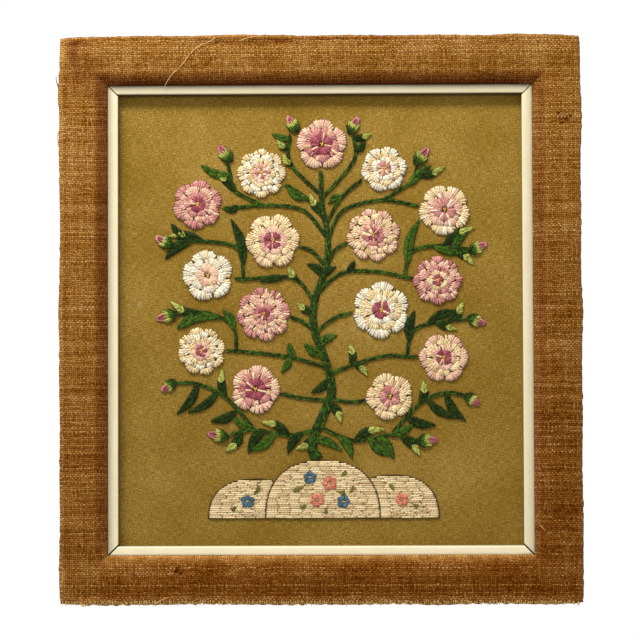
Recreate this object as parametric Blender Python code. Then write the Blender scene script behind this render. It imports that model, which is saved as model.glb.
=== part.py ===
"""Framed crewel embroidery panel.

A wool-worked linen cloth is wrapped round a board and sits in the rabbet of a wooden
frame. Four mitred rails carry the frame, one hessian cover without a seam is wrapped
over them all, and four narrow painted liner strips close the inside edge.

The panel hangs upright. X is to the right, Z is up and the front faces -Y. The wall
plane is Y = 0 and the origin is on the back of the cover's top edge, at mid width.
Sizes below are in millimetres and become metres through MM.
"""

import math

import bmesh
import bpy
from mathutils import Vector

MM = 0.001

# Overall sizes of the frame
OUTER_WIDTH = 565.0
OUTER_HEIGHT = 614.0
RAIL_WIDTH = 52.5
SIGHT_WIDTH = 439.5
SIGHT_HEIGHT = 491.5

# Clearance between neighbouring pieces
GAP = 0.3

# Hessian cover, whose section is listed in SURFACE_SECTION
COVER_THICKNESS = 1.3
RETURN_WIDTH = 18.0
COVER_STATIONS = 17
HUMP_REACH = 9.0
HUMP_LOWEST = 15.0
CORNER_FADE = 30.0

# Painted liner, open at the lower mitres
LINER_BACK = 5.7
LINER_FRONT = 15.9
LINER_MITRE_GAP = {"upper": 0.2, "lower": 0.55}

# Linen wrapped round its board
RABBET_WIDTH = 7.0
RABBET_DEPTH = 6.0
LINEN_EDGE_CLEARANCE = 0.5
LINEN_THICKNESS = 1.0
LINEN_FRONT = 5.4
LINEN_BACK = 0.3
LINEN_RETURN = 22.0

# Wool relief on the linen
WOOL_BACK = LINEN_FRONT + GAP
STEM_HEIGHT = 2.8
LEAF_HEIGHT = 3.0
LEAF_SIDES = 6
LEAF_RINGS = 5
BLOSSOM_HEIGHT = 4.2
BUD_HEIGHT = 3.6
MOUND_HEIGHT = 2.6
MOUND_CLEARANCE = 0.8
MOUND_CUTTER_HEIGHT = 400.0
SPRIG_HEIGHT = 1.9
ARCH_POWER = 2.4
PETAL_DEPTH = 0.16
SMALL_PETAL_DEPTH = 0.25

CENTRE_Z = RETURN_WIDTH / 2 - OUTER_HEIGHT / 2
RABBET_EDGE = RAIL_WIDTH - RABBET_WIDTH

# Outer surface of a covered rail: distance in from the outer edge, height off the wall
SURFACE_SECTION = (
    (RETURN_WIDTH, 0.0),
    (1.2, 0.0),
    (0.0, 1.6),
    (0.0, 21.4),
    (0.9, 24.0),
    (3.4, 25.0),
    (20.0, 25.2),
    (RAIL_WIDTH - 15.5, 24.5),
    (RAIL_WIDTH - 8.0, 22.4),
    (RAIL_WIDTH - 2.9, 18.9),
    (RAIL_WIDTH - 0.4, 14.8),
    (RAIL_WIDTH, 11.5),
    (RAIL_WIDTH, RABBET_DEPTH),
)

# Humps of the cover along its outer edge: rail, place along it from its middle,
# length, how far they stand out and how far they stand forward
HUMPS = (
    # rail, along, length, out, forward
    ("top", -95.0, 150.0, 1.3, 1.6),
    ("top", -38.0, 60.0, 1.0, 0.9),
    ("top", 208.0, 62.0, 1.2, 1.0),
    ("right", -9.0, 70.0, 0.9, 0.3),
    ("right", -220.0, 90.0, 0.8, 0.2),
    ("bottom", -122.0, 80.0, 1.1, 0.3),
    ("bottom", 35.0, 70.0, 0.8, 0.2),
    ("bottom", 230.0, 70.0, 1.0, 0.4),
    ("left", 245.0, 60.0, 1.4, 0.4),
    ("left", 192.0, 60.0, 1.1, 0.3),
    ("left", 5.0, 80.0, 1.5, 0.3),
)

# Mounds at the foot of the tree: centre x, half width, height, base z
MOUNDS = (
    # name, x, half_width, height, base
    ("mound_middle", 2.0, 62.0, 62.0, -216.0),
    ("mound_left", -72.0, 50.0, 42.0, -216.0),
    ("mound_right", 78.0, 50.0, 46.0, -216.0),
)

# Blossoms: centre, radius over the petals, number of petals, turn in degrees, wool
BLOSSOMS = (
    # x, z, radius, petals, turn, wool
    (2.0, 190.0, 29.0, 5, 18.0, "pale_pink_wool"),
    (-64.0, 160.0, 27.0, 8, 0.0, "cream_wool"),
    (70.0, 164.0, 26.0, 6, 10.0, "white_wool"),
    (-134.0, 126.0, 28.0, 6, 20.0, "dusty_pink_wool"),
    (136.0, 120.0, 29.0, 5, 50.0, "cream_wool"),
    (-52.0, 86.0, 31.0, 6, 5.0, "cream_wool"),
    (58.0, 92.0, 30.0, 8, 12.0, "pale_pink_wool"),
    (-122.0, 48.0, 29.0, 5, 30.0, "white_wool"),
    (128.0, 42.0, 27.0, 8, 0.0, "dusty_pink_wool"),
    (-62.0, 6.0, 30.0, 8, 8.0, "dusty_pink_wool"),
    (66.0, 10.0, 32.0, 6, 25.0, "white_wool"),
    (-130.0, -34.0, 27.0, 8, 15.0, "cream_wool"),
    (134.0, -42.0, 28.0, 6, 0.0, "pale_pink_wool"),
    (-72.0, -76.0, 28.0, 5, 0.0, "pale_pink_wool"),
    (76.0, -84.0, 27.0, 5, 40.0, "cream_wool"),
)

# Buds: centre, direction of the tip in degrees from +X, length, width
BUDS = (
    # x, z, direction, length, width
    (-30.0, 214.0, 120.0, 22.0, 14.0),
    (37.0, 212.0, 60.0, 22.0, 14.0),
    (-104.0, 182.0, 130.0, 24.0, 15.0),
    (111.0, 178.0, 50.0, 24.0, 15.0),
    (-171.0, 86.0, 150.0, 22.0, 14.0),
    (172.0, 78.0, 25.0, 22.0, 14.0),
    (-168.0, 4.0, 195.0, 24.0, 15.0),
    (170.0, -2.0, -20.0, 22.0, 14.0),
    (-112.0, -126.0, 170.0, 24.0, 15.0),
    (116.0, -132.0, 5.0, 24.0, 15.0),
    (-166.0, -72.0, 215.0, 20.0, 13.0),
    (165.0, -88.0, -35.0, 20.0, 13.0),
)

# Trunk: points from the middle mound to the top blossom, with its half width
TRUNK = (
    # x, z, half_width
    (-4.0, -153.0, 6.4),
    (-10.0, -134.0, 5.4),
    (2.0, -106.0, 5.0),
    (12.0, -78.0, 4.6),
    (5.0, -44.0, 4.2),
    (-7.0, -10.0, 4.0),
    (-6.0, 22.0, 3.6),
    (6.0, 56.0, 3.3),
    (8.0, 92.0, 2.9),
    (2.0, 126.0, 2.5),
    (1.0, 160.3, 2.0),
)

# Branches: the points each one runs through, from the trunk outwards
BRANCHES = {
    "upper_left": ((6.0, 108.0), (-14.0, 132.0), (-38.6, 148.0)),
    "upper_right": ((6.0, 104.0), (24.0, 134.0), (45.6, 152.0)),
    "high_left": ((8.0, 88.0), (-18.0, 119.0), (-58.0, 125.0), (-96.0, 122.0), (-105.2, 123.0)),
    "high_right": ((8.0, 84.0), (24.0, 118.0), (64.0, 130.0), (96.0, 126.0), (106.2, 122.5)),
    "inner_left": ((6.0, 58.0), (-8.0, 74.0), (-20.6, 79.6)),
    "inner_right": ((6.0, 56.0), (16.0, 76.0), (28.2, 83.6)),
    "middle_left": ((-7.0, 18.0), (-26.0, 44.0), (-58.0, 46.0), (-84.0, 44.0), (-92.2, 46.0)),
    "middle_right": ((-5.0, 26.0), (22.0, 50.0), (62.0, 52.0), (92.0, 46.0), (100.2, 44.0)),
    "near_left": ((-7.0, -12.0), (-20.0, -2.0), (-31.4, 2.4)),
    "near_right": ((-5.0, -14.0), (16.0, 2.0), (33.2, 6.6)),
    "low_left": ((6.0, -52.0), (-28.0, -42.0), (-66.0, -36.5), (-94.0, -34.0), (-102.2, -33.6)),
    "low_right": ((8.0, -60.0), (34.0, -50.0), (70.0, -40.0), (96.0, -41.0), (105.2, -41.4)),
    "foot_left": ((9.0, -88.0), (-18.0, -86.0), (-43.2, -80.2)),
    "foot_right": ((11.0, -86.0), (30.0, -90.0), (48.2, -88.6)),
    "sprig_left": ((-2.0, -118.0), (-34.0, -126.0), (-72.0, -120.0), (-98.4, -125.0)),
    "sprig_right": ((-3.0, -116.0), (36.0, -132.0), (76.0, -126.0), (102.4, -131.6)),
    "top_left": ((1.5, 136.0), (-26.0, 162.0), (-35.0, 180.0), (-32.6, 201.4)),
    "top_right": ((1.5, 132.0), (29.0, 162.0), (39.0, 180.0), (36.4, 199.6)),
    "crown_left": ((-62.0, 125.2), (-92.0, 140.0), (-98.0, 158.0), (-100.2, 169.6)),
    "crown_right": ((68.0, 130.0), (98.0, 148.0), (104.0, 158.0), (106.0, 167.0)),
    "side_left": ((-84.0, 44.0), (-90.0, 78.0), (-128.0, 86.0), (-160.2, 84.4)),
    "side_right": ((92.0, 46.0), (99.0, 73.0), (128.0, 80.0), (160.4, 75.4)),
    "waist_left": ((-92.0, -34.2), (-96.0, -6.0), (-126.0, 8.0), (-155.4, 6.0)),
    "waist_right": ((94.0, -41.0), (100.0, -14.0), (124.0, -4.0), (158.2, -0.6)),
    "hem_left": ((-72.0, -120.0), (-104.0, -84.0), (-134.0, -70.0), (-156.4, -67.6)),
    "hem_right": ((76.0, -126.0), (108.0, -92.0), (136.0, -80.0), (155.4, -83.0)),
}
BRANCH_HALF_WIDTH = 1.7

# Leaves: foot of the leaf, direction in degrees from +X, length, width, bend
LEAVES = (
    # x, z, direction, length, width, bend
    (-14.0, 132.0, 150.0, 26.0, 8.0, 3.0),
    (24.0, 134.0, 205.0, 17.0, 7.0, -2.0),
    (-30.0, 168.0, 128.0, 16.0, 7.0, 2.0),
    (-34.0, 186.0, 140.0, 17.0, 7.0, 2.0),
    (38.0, 184.0, 42.0, 16.0, 7.0, -2.0),
    (-92.0, 140.0, 138.0, 30.0, 8.0, -2.0),
    (-98.0, 158.0, 160.0, 34.0, 8.0, 4.0),
    (98.0, 146.0, 44.0, 32.0, 8.0, 2.0),
    (104.0, 158.0, 15.0, 34.0, 8.0, -4.0),
    (-90.0, 124.0, 196.0, 15.0, 7.0, 2.0),
    (-84.0, 60.0, 105.0, 52.0, 9.0, -4.0),
    (-128.0, 86.0, 172.0, 38.0, 8.0, -4.0),
    (95.0, 60.0, 75.0, 50.0, 9.0, 4.0),
    (124.0, 79.0, -8.0, 38.0, 8.0, -3.0),
    (134.0, 80.0, 30.0, 40.0, 8.0, 3.0),
    (-26.0, 44.0, 120.0, 16.0, 7.0, 2.0),
    (-40.0, 46.0, 190.0, 26.0, 7.0, -1.0),
    (30.0, 52.0, 60.0, 14.0, 6.0, -1.0),
    (-95.0, -10.0, 120.0, 24.0, 8.0, -3.0),
    (-110.0, 3.0, 195.0, 40.0, 8.0, -5.0),
    (-130.0, 8.0, 160.0, 36.0, 8.0, 5.0),
    (97.0, -24.0, 80.0, 34.0, 9.0, 3.0),
    (116.0, -6.0, 20.0, 40.0, 8.0, 5.0),
    (126.0, -4.0, -18.0, 24.0, 7.0, -1.0),
    (-28.0, -42.0, 110.0, 18.0, 7.0, 2.0),
    (-34.0, -42.0, 240.0, 18.0, 7.0, 2.0),
    (34.0, -50.0, 95.0, 24.0, 7.0, -2.0),
    (38.0, -49.0, -45.0, 18.0, 7.0, 2.0),
    (9.0, -66.0, 215.0, 24.0, 8.0, 2.0),
    (-34.0, -126.0, 155.0, 34.0, 8.0, -4.0),
    (-50.0, -123.0, 215.0, 34.0, 9.0, 4.0),
    (-72.0, -120.0, 150.0, 28.0, 8.0, 2.0),
    (-104.0, -84.0, 95.0, 30.0, 8.0, 3.0),
    (-112.0, -78.0, 215.0, 40.0, 8.0, 4.0),
    (-134.0, -70.0, 235.0, 40.0, 8.0, 4.0),
    (36.0, -132.0, 20.0, 36.0, 8.0, 4.0),
    (52.0, -129.0, -35.0, 34.0, 9.0, -4.0),
    (76.0, -126.0, 25.0, 28.0, 8.0, -2.0),
    (108.0, -92.0, 82.0, 26.0, 8.0, -3.0),
    (116.0, -88.0, -30.0, 40.0, 8.0, -4.0),
    (136.0, -80.0, -55.0, 38.0, 8.0, -4.0),
    (-6.0, -126.0, 215.0, 26.0, 8.0, 3.0),
    (-9.0, -130.0, -22.0, 34.0, 8.0, 3.0),
    (-33.0, 198.0, 165.0, 20.0, 7.0, 2.0),
    (37.0, 198.0, 15.0, 20.0, 7.0, -2.0),
    (-140.0, 86.0, 140.0, 30.0, 9.0, 3.0),
    (-140.0, 87.0, 215.0, 36.0, 9.0, -3.0),
    (140.0, 78.0, -35.0, 34.0, 9.0, 3.0),
    (146.0, 77.0, 50.0, 28.0, 9.0, 3.0),
    (-140.0, 8.0, 225.0, 24.0, 9.0, 3.0),
    (138.0, -3.0, 50.0, 28.0, 9.0, -3.0),
    (-20.0, -123.0, 235.0, 28.0, 9.0, -3.0),
    (-62.0, -121.0, 235.0, 30.0, 9.0, -3.0),
    (-86.0, -122.0, 230.0, 28.0, 9.0, 3.0),
    (20.0, -127.0, -60.0, 28.0, 9.0, 3.0),
    (62.0, -128.0, -55.0, 30.0, 9.0, 3.0),
    (88.0, -129.0, -45.0, 28.0, 9.0, 3.0),
    (-92.0, -100.0, 200.0, 30.0, 9.0, 3.0),
    (94.0, -107.0, -15.0, 32.0, 9.0, -3.0),
    (10.0, -92.0, -60.0, 24.0, 9.0, 3.0),
    (3.0, -38.0, 150.0, 24.0, 9.0, 3.0),
    (-1.0, -28.0, 30.0, 22.0, 8.0, 2.0),
    (-8.0, 8.0, 150.0, 20.0, 8.0, 2.0),
    (4.0, 48.0, 145.0, 22.0, 8.0, -2.0),
    (1.0, 46.0, 35.0, 20.0, 8.0, 2.0),
    (4.0, 116.0, 125.0, 26.0, 8.0, 3.0),
)
LEAF_FULLNESS = 1.18

# Small five-petalled blossoms and leaves worked over the mounds: centre, radius, wool
SPRIG_BLOSSOMS = (
    # x, z, radius, wool
    (-12.0, -172.0, 8.0, "blue_wool"),
    (10.0, -178.0, 9.0, "coral_wool"),
    (-4.0, -196.0, 8.5, "coral_wool"),
    (24.0, -198.0, 8.0, "blue_wool"),
    (-80.0, -198.0, 8.0, "blue_wool"),
    (88.0, -196.0, 8.0, "coral_wool"),
)

# Colours: red, green, blue in linear light, then roughness
FINISHES = {
    "hessian": (0.23, 0.11, 0.03, 0.95),
    "pine": (0.50, 0.33, 0.17, 0.70),
    "liner_paint": (0.82, 0.74, 0.52, 0.45),
    "linen": (0.31, 0.20, 0.04, 0.90),
    "backing_board": (0.30, 0.19, 0.10, 0.85),
    "green_wool": (0.04, 0.10, 0.02, 0.90),
    "cream_wool": (0.80, 0.62, 0.38, 0.90),
    "white_wool": (0.84, 0.80, 0.70, 0.90),
    "pale_pink_wool": (0.72, 0.38, 0.30, 0.90),
    "dusty_pink_wool": (0.58, 0.24, 0.24, 0.90),
    "blue_wool": (0.06, 0.12, 0.18, 0.90),
    "coral_wool": (0.70, 0.22, 0.14, 0.90),
}


def clear_scene():
    for obj in list(bpy.data.objects):
        bpy.data.objects.remove(obj, do_unlink=True)


def new_collection(name, is_helper=False):
    """A collection in the scene, drawn as wire and left out of renders for helpers."""
    collection = bpy.data.collections.new(name)
    collection.hide_render = is_helper
    bpy.context.scene.collection.children.link(collection)
    return collection


def finish(name):
    """The material of a finish, made on first use."""
    material = bpy.data.materials.get(name)
    if material is None:
        red, green, blue, roughness = FINISHES[name]
        material = bpy.data.materials.new(name)
        material.use_nodes = True
        shader = material.node_tree.nodes["Principled BSDF"]
        shader.inputs["Base Color"].default_value = (red, green, blue, 1.0)
        shader.inputs["Roughness"].default_value = roughness
        material.diffuse_color = (red, green, blue, 1.0)
    return material


def add_object(name, mesh_data, collection, finish_name):
    obj = bpy.data.objects.new(name, mesh_data)
    if finish_name:
        mesh_data.materials.append(finish(finish_name))
    collection.objects.link(obj)
    return obj


def mesh_from(bm, name):
    """The bmesh as mesh data, in metres, with its faces turned outwards."""
    bmesh.ops.recalc_face_normals(bm, faces=bm.faces)
    if bm.calc_volume(signed=True) < 0:
        bmesh.ops.reverse_faces(bm, faces=bm.faces)
    bmesh.ops.scale(bm, vec=(MM, MM, MM), verts=bm.verts)
    mesh_data = bpy.data.meshes.new(name)
    bm.to_mesh(mesh_data)
    bm.free()
    return mesh_data


def smooth(obj, angle=40.0):
    obj.data.shade_smooth()
    obj.data.set_sharp_from_angle(angle=math.radians(angle))


def on_panel(x, z, height):
    """A point at x, z from the panel's centre and this high off the wall."""
    return Vector((x, -height, CENTRE_Z + z))


def offset_path(points, distance):
    """An open path moved sideways to its right by a distance, with mitred corners."""
    vectors = [Vector(point) for point in points]
    normals = []
    for first, second in zip(vectors, vectors[1:]):
        run = (second - first).normalized()
        normals.append(Vector((run.y, -run.x)))
    moved = []
    for index, point in enumerate(vectors):
        before = normals[max(index - 1, 0)]
        after = normals[min(index, len(normals) - 1)]
        bisector = (before + after).normalized()
        moved.append(point + bisector * (distance / bisector.dot(after)))
    return [tuple(point) for point in moved]


SIDES = {
    # side: quarter turns clockwise from the top, half length, distance from the centre
    "top": (0, OUTER_WIDTH / 2, OUTER_HEIGHT / 2),
    "right": (1, OUTER_HEIGHT / 2, OUTER_WIDTH / 2),
    "bottom": (2, OUTER_WIDTH / 2, OUTER_HEIGHT / 2),
    "left": (3, OUTER_HEIGHT / 2, OUTER_WIDTH / 2),
}


def rail_point(side, along, inward, height):
    """A point of a rail: along it clockwise, in from its outer edge, off the wall."""
    turns, _, distance = SIDES[side]
    x, z = along, distance - inward
    for _ in range(turns):
        x, z = z, -x
    return on_panel(x, z, height)


def mitred_loft(name, side, section_at, stations, end_gaps):
    """A strip along one side whose ends are cut on the diagonals of the corners.

    section_at(share) gives the closed section as pairs of inward distance and height,
    the same number of them at each station. end_gaps is half the open mitre at the
    start and at the end of the strip.
    """
    half_length = SIDES[side][1]
    bm = bmesh.new()
    rings = []
    for station in range(stations):
        share = station / (stations - 1)
        ring = []
        for inward, height, base in section_at(share):
            start = -(half_length - base - end_gaps[0])
            end = half_length - base - end_gaps[1]
            along = start + (end - start) * share
            ring.append(bm.verts.new(rail_point(side, along, inward, height)))
        rings.append(ring)
    count = len(rings[0])
    for ring, following in zip(rings, rings[1:]):
        for index in range(count):
            after = (index + 1) % count
            bm.faces.new((ring[index], ring[after], following[after], following[index]))
    bm.faces.new(rings[0])
    bm.faces.new(list(reversed(rings[-1])))
    return mesh_from(bm, name)


def closed_loft(name, section_at, stations):
    """A band round all four sides without a joint, which turns on the corners' diagonals."""
    bm = bmesh.new()
    rings = []
    for side, (_, half_length, _) in SIDES.items():
        for station in range(stations - 1):
            share = station / (stations - 1)
            ring = []
            for inward, height, base in section_at(side, share):
                along = (half_length - base) * (2 * share - 1)
                ring.append(bm.verts.new(rail_point(side, along, inward, height)))
            rings.append(ring)
    count = len(rings[0])
    for ring, following in zip(rings, rings[1:] + rings[:1]):
        for index in range(count):
            after = (index + 1) % count
            bm.faces.new((ring[index], ring[after], following[after], following[index]))
    return mesh_from(bm, name)


def hump_at(side, along):
    """How far the cover's outer edge stands out and forward at a place on a rail."""
    half_length = SIDES[side][1]
    fade = min(1.0, (half_length - abs(along)) / CORNER_FADE)
    turns = SIDES[side][0]
    out = 0.35 + 0.35 * math.sin(along / 17.0 + 1.7 * turns)
    out += 0.25 * math.sin(along / 41.0 + 0.9 * turns)
    forward = 0.0
    for rail, centre, length, most_out, most_forward in HUMPS:
        if rail == side:
            reach = abs(along - centre) / (length / 2)
            bell = 0.5 + 0.5 * math.cos(math.pi * min(1.0, reach))
            out += most_out * bell
            forward += most_forward * bell
    return max(0.0, out) * fade, forward * fade


def cover_section(side, share):
    """The cover's section: the outer path out, the inner path back."""
    out, forward = hump_at(side, (2 * share - 1) * SIDES[side][1])
    highest = max(height for _, height in SURFACE_SECTION)
    outer = []
    for inward, height in SURFACE_SECTION:
        near_edge = max(0.0, 1.0 - inward / HUMP_REACH)
        raised = max(0.0, height - HUMP_LOWEST) / (highest - HUMP_LOWEST)
        outer.append((inward - out * near_edge, height + forward * near_edge * raised, inward))
    inner = offset_path(SURFACE_SECTION, COVER_THICKNESS)
    inner = [(inward, height, inward) for inward, height in inner]
    return outer + inner[::-1]


def wood_section():
    """A rail's section inside its cover, with the rabbet at its back."""
    clear = COVER_THICKNESS + GAP
    points = offset_path(SURFACE_SECTION, clear)[1:]
    points += [(RABBET_EDGE, RABBET_DEPTH), (RABBET_EDGE, clear)]
    return [(inward, height, inward) for inward, height in points]


def liner_section(width):
    """The liner's section: a low outer edge and a rounded raised lip inside."""
    start = RAIL_WIDTH + GAP
    points = (
        (start, LINER_BACK),
        (start, LINER_FRONT - 1.6),
        (start + 0.9, LINER_FRONT - 0.7),
        (start + width - 2.4, LINER_FRONT),
        (start + width - 0.7, LINER_FRONT - 0.4),
        (start + width, LINER_FRONT - 1.5),
        (start + width, LINER_BACK),
    )
    return [(inward, height, inward) for inward, height in points]


def liner_gaps(side):
    """Half the open mitre at the two ends of a liner strip, clockwise."""
    upper = LINER_MITRE_GAP["upper"]
    lower = LINER_MITRE_GAP["lower"]
    return {
        "top": (upper, upper),
        "right": (upper, lower),
        "bottom": (lower, lower),
        "left": (lower, upper),
    }[side]


def build_frame(collection):
    plain_gaps = (GAP * 0.75, GAP * 0.75)
    wood = wood_section()
    for side in SIDES:
        name = f"rail_{side}"
        mesh_data = mitred_loft(name, side, lambda share: wood, 2, plain_gaps)
        add_object(name, mesh_data, collection, "pine")
        across = SIGHT_HEIGHT if side in ("top", "bottom") else SIGHT_WIDTH
        width = SIDES[side][2] - across / 2 - RAIL_WIDTH - GAP
        liner = liner_section(width)
        name = f"liner_{side}"
        mesh_data = mitred_loft(name, side, lambda share: liner, 2, liner_gaps(side))
        add_object(name, mesh_data, collection, "liner_paint")
    mesh_data = closed_loft("hessian_cover", cover_section, COVER_STATIONS)
    smooth(add_object("hessian_cover", mesh_data, collection, "hessian"))


def box(name, width, tall, low, high, collection, finish_name):
    """A block centred on the panel, between two heights off the wall."""
    bm = bmesh.new()
    bmesh.ops.create_cube(bm, size=1.0)
    bmesh.ops.scale(bm, vec=(width, high - low, tall), verts=bm.verts)
    bmesh.ops.translate(bm, vec=on_panel(0.0, 0.0, (low + high) / 2), verts=bm.verts)
    return add_object(name, mesh_from(bm, name), collection, finish_name)


def cut(obj, cutter):
    """Takes a cutter out of an object and keeps it as a wire helper."""
    modifier = obj.modifiers.new(cutter.name, "BOOLEAN")
    modifier.operation = "DIFFERENCE"
    modifier.solver = "EXACT"
    modifier.object = cutter
    cutter.hide_render = True
    cutter.display_type = "WIRE"


def build_mounted_linen(collection, helpers):
    edge = RABBET_EDGE + LINEN_EDGE_CLEARANCE
    width = OUTER_WIDTH - 2 * edge
    tall = OUTER_HEIGHT - 2 * edge
    linen = box("linen_ground", width, tall, LINEN_BACK, LINEN_FRONT, collection, "linen")
    pocket_low = LINEN_BACK + LINEN_THICKNESS
    pocket_high = LINEN_FRONT - LINEN_THICKNESS
    within = 2 * LINEN_THICKNESS
    pocket = box("pocket", width - within, tall - within, pocket_low, pocket_high, helpers, None)
    window = 2 * LINEN_RETURN
    opening = box(
        "back_opening", width - window, tall - window, -5.0, pocket_low + 1.0, helpers, None
    )
    cut(linen, pocket)
    cut(linen, opening)
    within = 2 * (LINEN_THICKNESS + GAP)
    box(
        "backing_board",
        width - within,
        tall - within,
        pocket_low + GAP,
        pocket_high - GAP,
        collection,
        "backing_board",
    )


def dome(name, x, z, outline_at, height, sides, rings, collection, finish_name, back=WOOL_BACK):
    """A flat-backed pad: outline_at(angle) is its reach, its top a low dome."""
    bm = bmesh.new()
    bmesh.ops.create_uvsphere(bm, u_segments=sides, v_segments=rings * 2, radius=1.0)
    for vert in bm.verts:
        angle = math.atan2(vert.co.y, vert.co.x)
        spread = math.hypot(vert.co.x, vert.co.y)
        reach = spread * outline_at(angle)
        rise = height * max(0.0, vert.co.z) ** 0.7
        vert.co = on_panel(x + reach * math.cos(angle), z + reach * math.sin(angle), back + rise)
    obj = add_object(name, mesh_from(bm, name), collection, finish_name)
    smooth(obj, 50.0)
    return obj


def petal_outline(radius, petals, turn, depth):
    """Reach of a blossom's edge by angle: rounded petals with notches between them."""

    def reach(angle):
        wave = abs(math.cos(petals * (angle - math.radians(turn)) / 2))
        return radius * (1 - depth + depth * wave**0.6)

    return reach


def build_blossoms(collection):
    for number, (x, z, radius, petals, turn, wool) in enumerate(BLOSSOMS, 1):
        outline = petal_outline(radius, petals, turn, PETAL_DEPTH)
        sides = petals * (6 if petals == 5 else 4)
        name = f"blossom_{number:02d}"
        dome(name, x, z, outline, BLOSSOM_HEIGHT, sides, 2, collection, wool)
    for number, (x, z, radius, wool) in enumerate(SPRIG_BLOSSOMS, 1):
        outline = petal_outline(radius, 5, 18.0 * number, SMALL_PETAL_DEPTH)
        back = WOOL_BACK + MOUND_HEIGHT + GAP
        name = f"small_blossom_{number}"
        dome(name, x, z, outline, SPRIG_HEIGHT, 20, 2, collection, wool, back)


def lens(x, z, direction, length, width, height, bend, sides, rings, middle):
    """A pointed pad of leaf or bud form as a bmesh, its foot at x, z."""
    bm = bmesh.new()
    bmesh.ops.create_uvsphere(bm, u_segments=sides, v_segments=rings, radius=1.0)
    heading = math.radians(direction)
    for vert in bm.verts:
        share = (vert.co.z + 1) / 2
        taper = 1.0 - 0.25 * abs(2 * share - 1)
        side = vert.co.x * taper * width / 2 + bend * math.sin(math.pi * share)
        rise = vert.co.y * height / 2
        run = share * length
        px = x + run * math.cos(heading) - side * math.sin(heading)
        pz = z + run * math.sin(heading) + side * math.cos(heading)
        vert.co = on_panel(px, pz, middle + rise)
    return bm


def build_buds(collection):
    for number, (x, z, direction, length, width) in enumerate(BUDS, 1):
        heading = math.radians(direction)
        foot_x = x - math.cos(heading) * length / 2
        foot_z = z - math.sin(heading) * length / 2
        middle = WOOL_BACK + BUD_HEIGHT / 2
        bm = lens(foot_x, foot_z, direction, length, width, BUD_HEIGHT, 0.0, 8, 5, middle)
        name = f"bud_{number:02d}"
        smooth(add_object(name, mesh_from(bm, name), collection, "dusty_pink_wool"), 60.0)


def smooth_path(points, steps):
    """Points along a curve through the given points, several to each stretch."""
    ends = [points[0]] + list(points) + [points[-1]]
    path = []
    for index in range(1, len(ends) - 2):
        p0, p1, p2, p3 = (Vector(p) for p in ends[index - 1 : index + 3])
        for step in range(steps):
            t = step / steps
            path.append(
                0.5
                * (
                    2 * p1
                    + (p2 - p0) * t
                    + (2 * p0 - 5 * p1 + 4 * p2 - p3) * t**2
                    + (3 * p1 - p0 - 3 * p2 + p3) * t**3
                )
            )
    path.append(Vector(points[-1]))
    return path


def stem_mesh(name, rows, steps):
    """A flattened tube through rows of x, z and half width, as mesh data."""
    curve_data = bpy.data.curves.new(name, "CURVE")
    curve_data.dimensions = "3D"
    curve_data.bevel_depth = MM
    curve_data.bevel_resolution = 1
    curve_data.use_fill_caps = True
    curve_data.twist_mode = "Z_UP"
    spline = curve_data.splines.new("POLY")
    path = smooth_path(rows, steps)
    spline.points.add(len(path) - 1)
    for point, row in zip(spline.points, path):
        point.co = (row.x * MM, row.y * MM, 0.0, 1.0)
        point.radius = row.z
    obj = bpy.data.objects.new(name, curve_data)
    bpy.context.scene.collection.objects.link(obj)
    bpy.context.view_layer.update()
    evaluated = obj.evaluated_get(bpy.context.evaluated_depsgraph_get())
    mesh_data = bpy.data.meshes.new_from_object(evaluated)
    bpy.data.objects.remove(obj, do_unlink=True)
    bm = bmesh.new()
    bm.from_mesh(mesh_data)
    bmesh.ops.remove_doubles(bm, verts=bm.verts, dist=1e-5)
    middle = WOOL_BACK + STEM_HEIGHT / 2
    widest = max(row.z for row in path)
    for vert in bm.verts:
        x, z, rise = (value / MM for value in vert.co)
        rise = max(-0.5, min(0.5, rise / (2 * widest) * 1.1)) * STEM_HEIGHT
        vert.co = on_panel(x, z, middle + rise)
    bpy.data.meshes.remove(mesh_data)
    return mesh_from(bm, name)


def build_tree(collection, helpers):
    """Trunk, branches and leaves, joined into one solid."""
    members = bpy.data.collections.new("tree_members")
    members.hide_render = True
    helpers.children.link(members)
    for name, points in BRANCHES.items():
        rows = [(x, z, BRANCH_HALF_WIDTH) for x, z in points]
        member = add_object(f"branch_{name}", stem_mesh(name, rows, 2), members, None)
        member.display_type = "WIRE"
        member.hide_render = True
    for number, (x, z, direction, length, width, bend) in enumerate(LEAVES, 1):
        middle = WOOL_BACK + LEAF_HEIGHT / 2 + 0.05 * (number % 5)
        full = width * LEAF_FULLNESS
        bm = lens(x, z, direction, length, full, LEAF_HEIGHT, bend, LEAF_SIDES, LEAF_RINGS, middle)
        member = add_object(f"leaf_{number:02d}", mesh_from(bm, "leaf"), members, None)
        member.display_type = "WIRE"
        member.hide_render = True
    tree = add_object("tree_stems_leaves", stem_mesh("trunk", TRUNK, 3), collection, "green_wool")
    modifier = tree.modifiers.new("branches and leaves", "BOOLEAN")
    modifier.operation = "UNION"
    modifier.solver = "EXACT"
    modifier.operand_type = "COLLECTION"
    modifier.collection = members
    modifier.use_self = True


def mound_outline(half_width, height):
    """Reach of a mound by angle: an arch over a flat foot."""

    def reach(angle):
        c = abs(math.cos(angle)) / half_width
        s = math.sin(angle)
        if s > 0:
            return 1.0 / (c**ARCH_POWER + (s / height) ** ARCH_POWER) ** (1 / ARCH_POWER)
        return min(1.0 / max(c, 1e-6), 1.5 / max(-s, 1e-6))

    return reach


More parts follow.
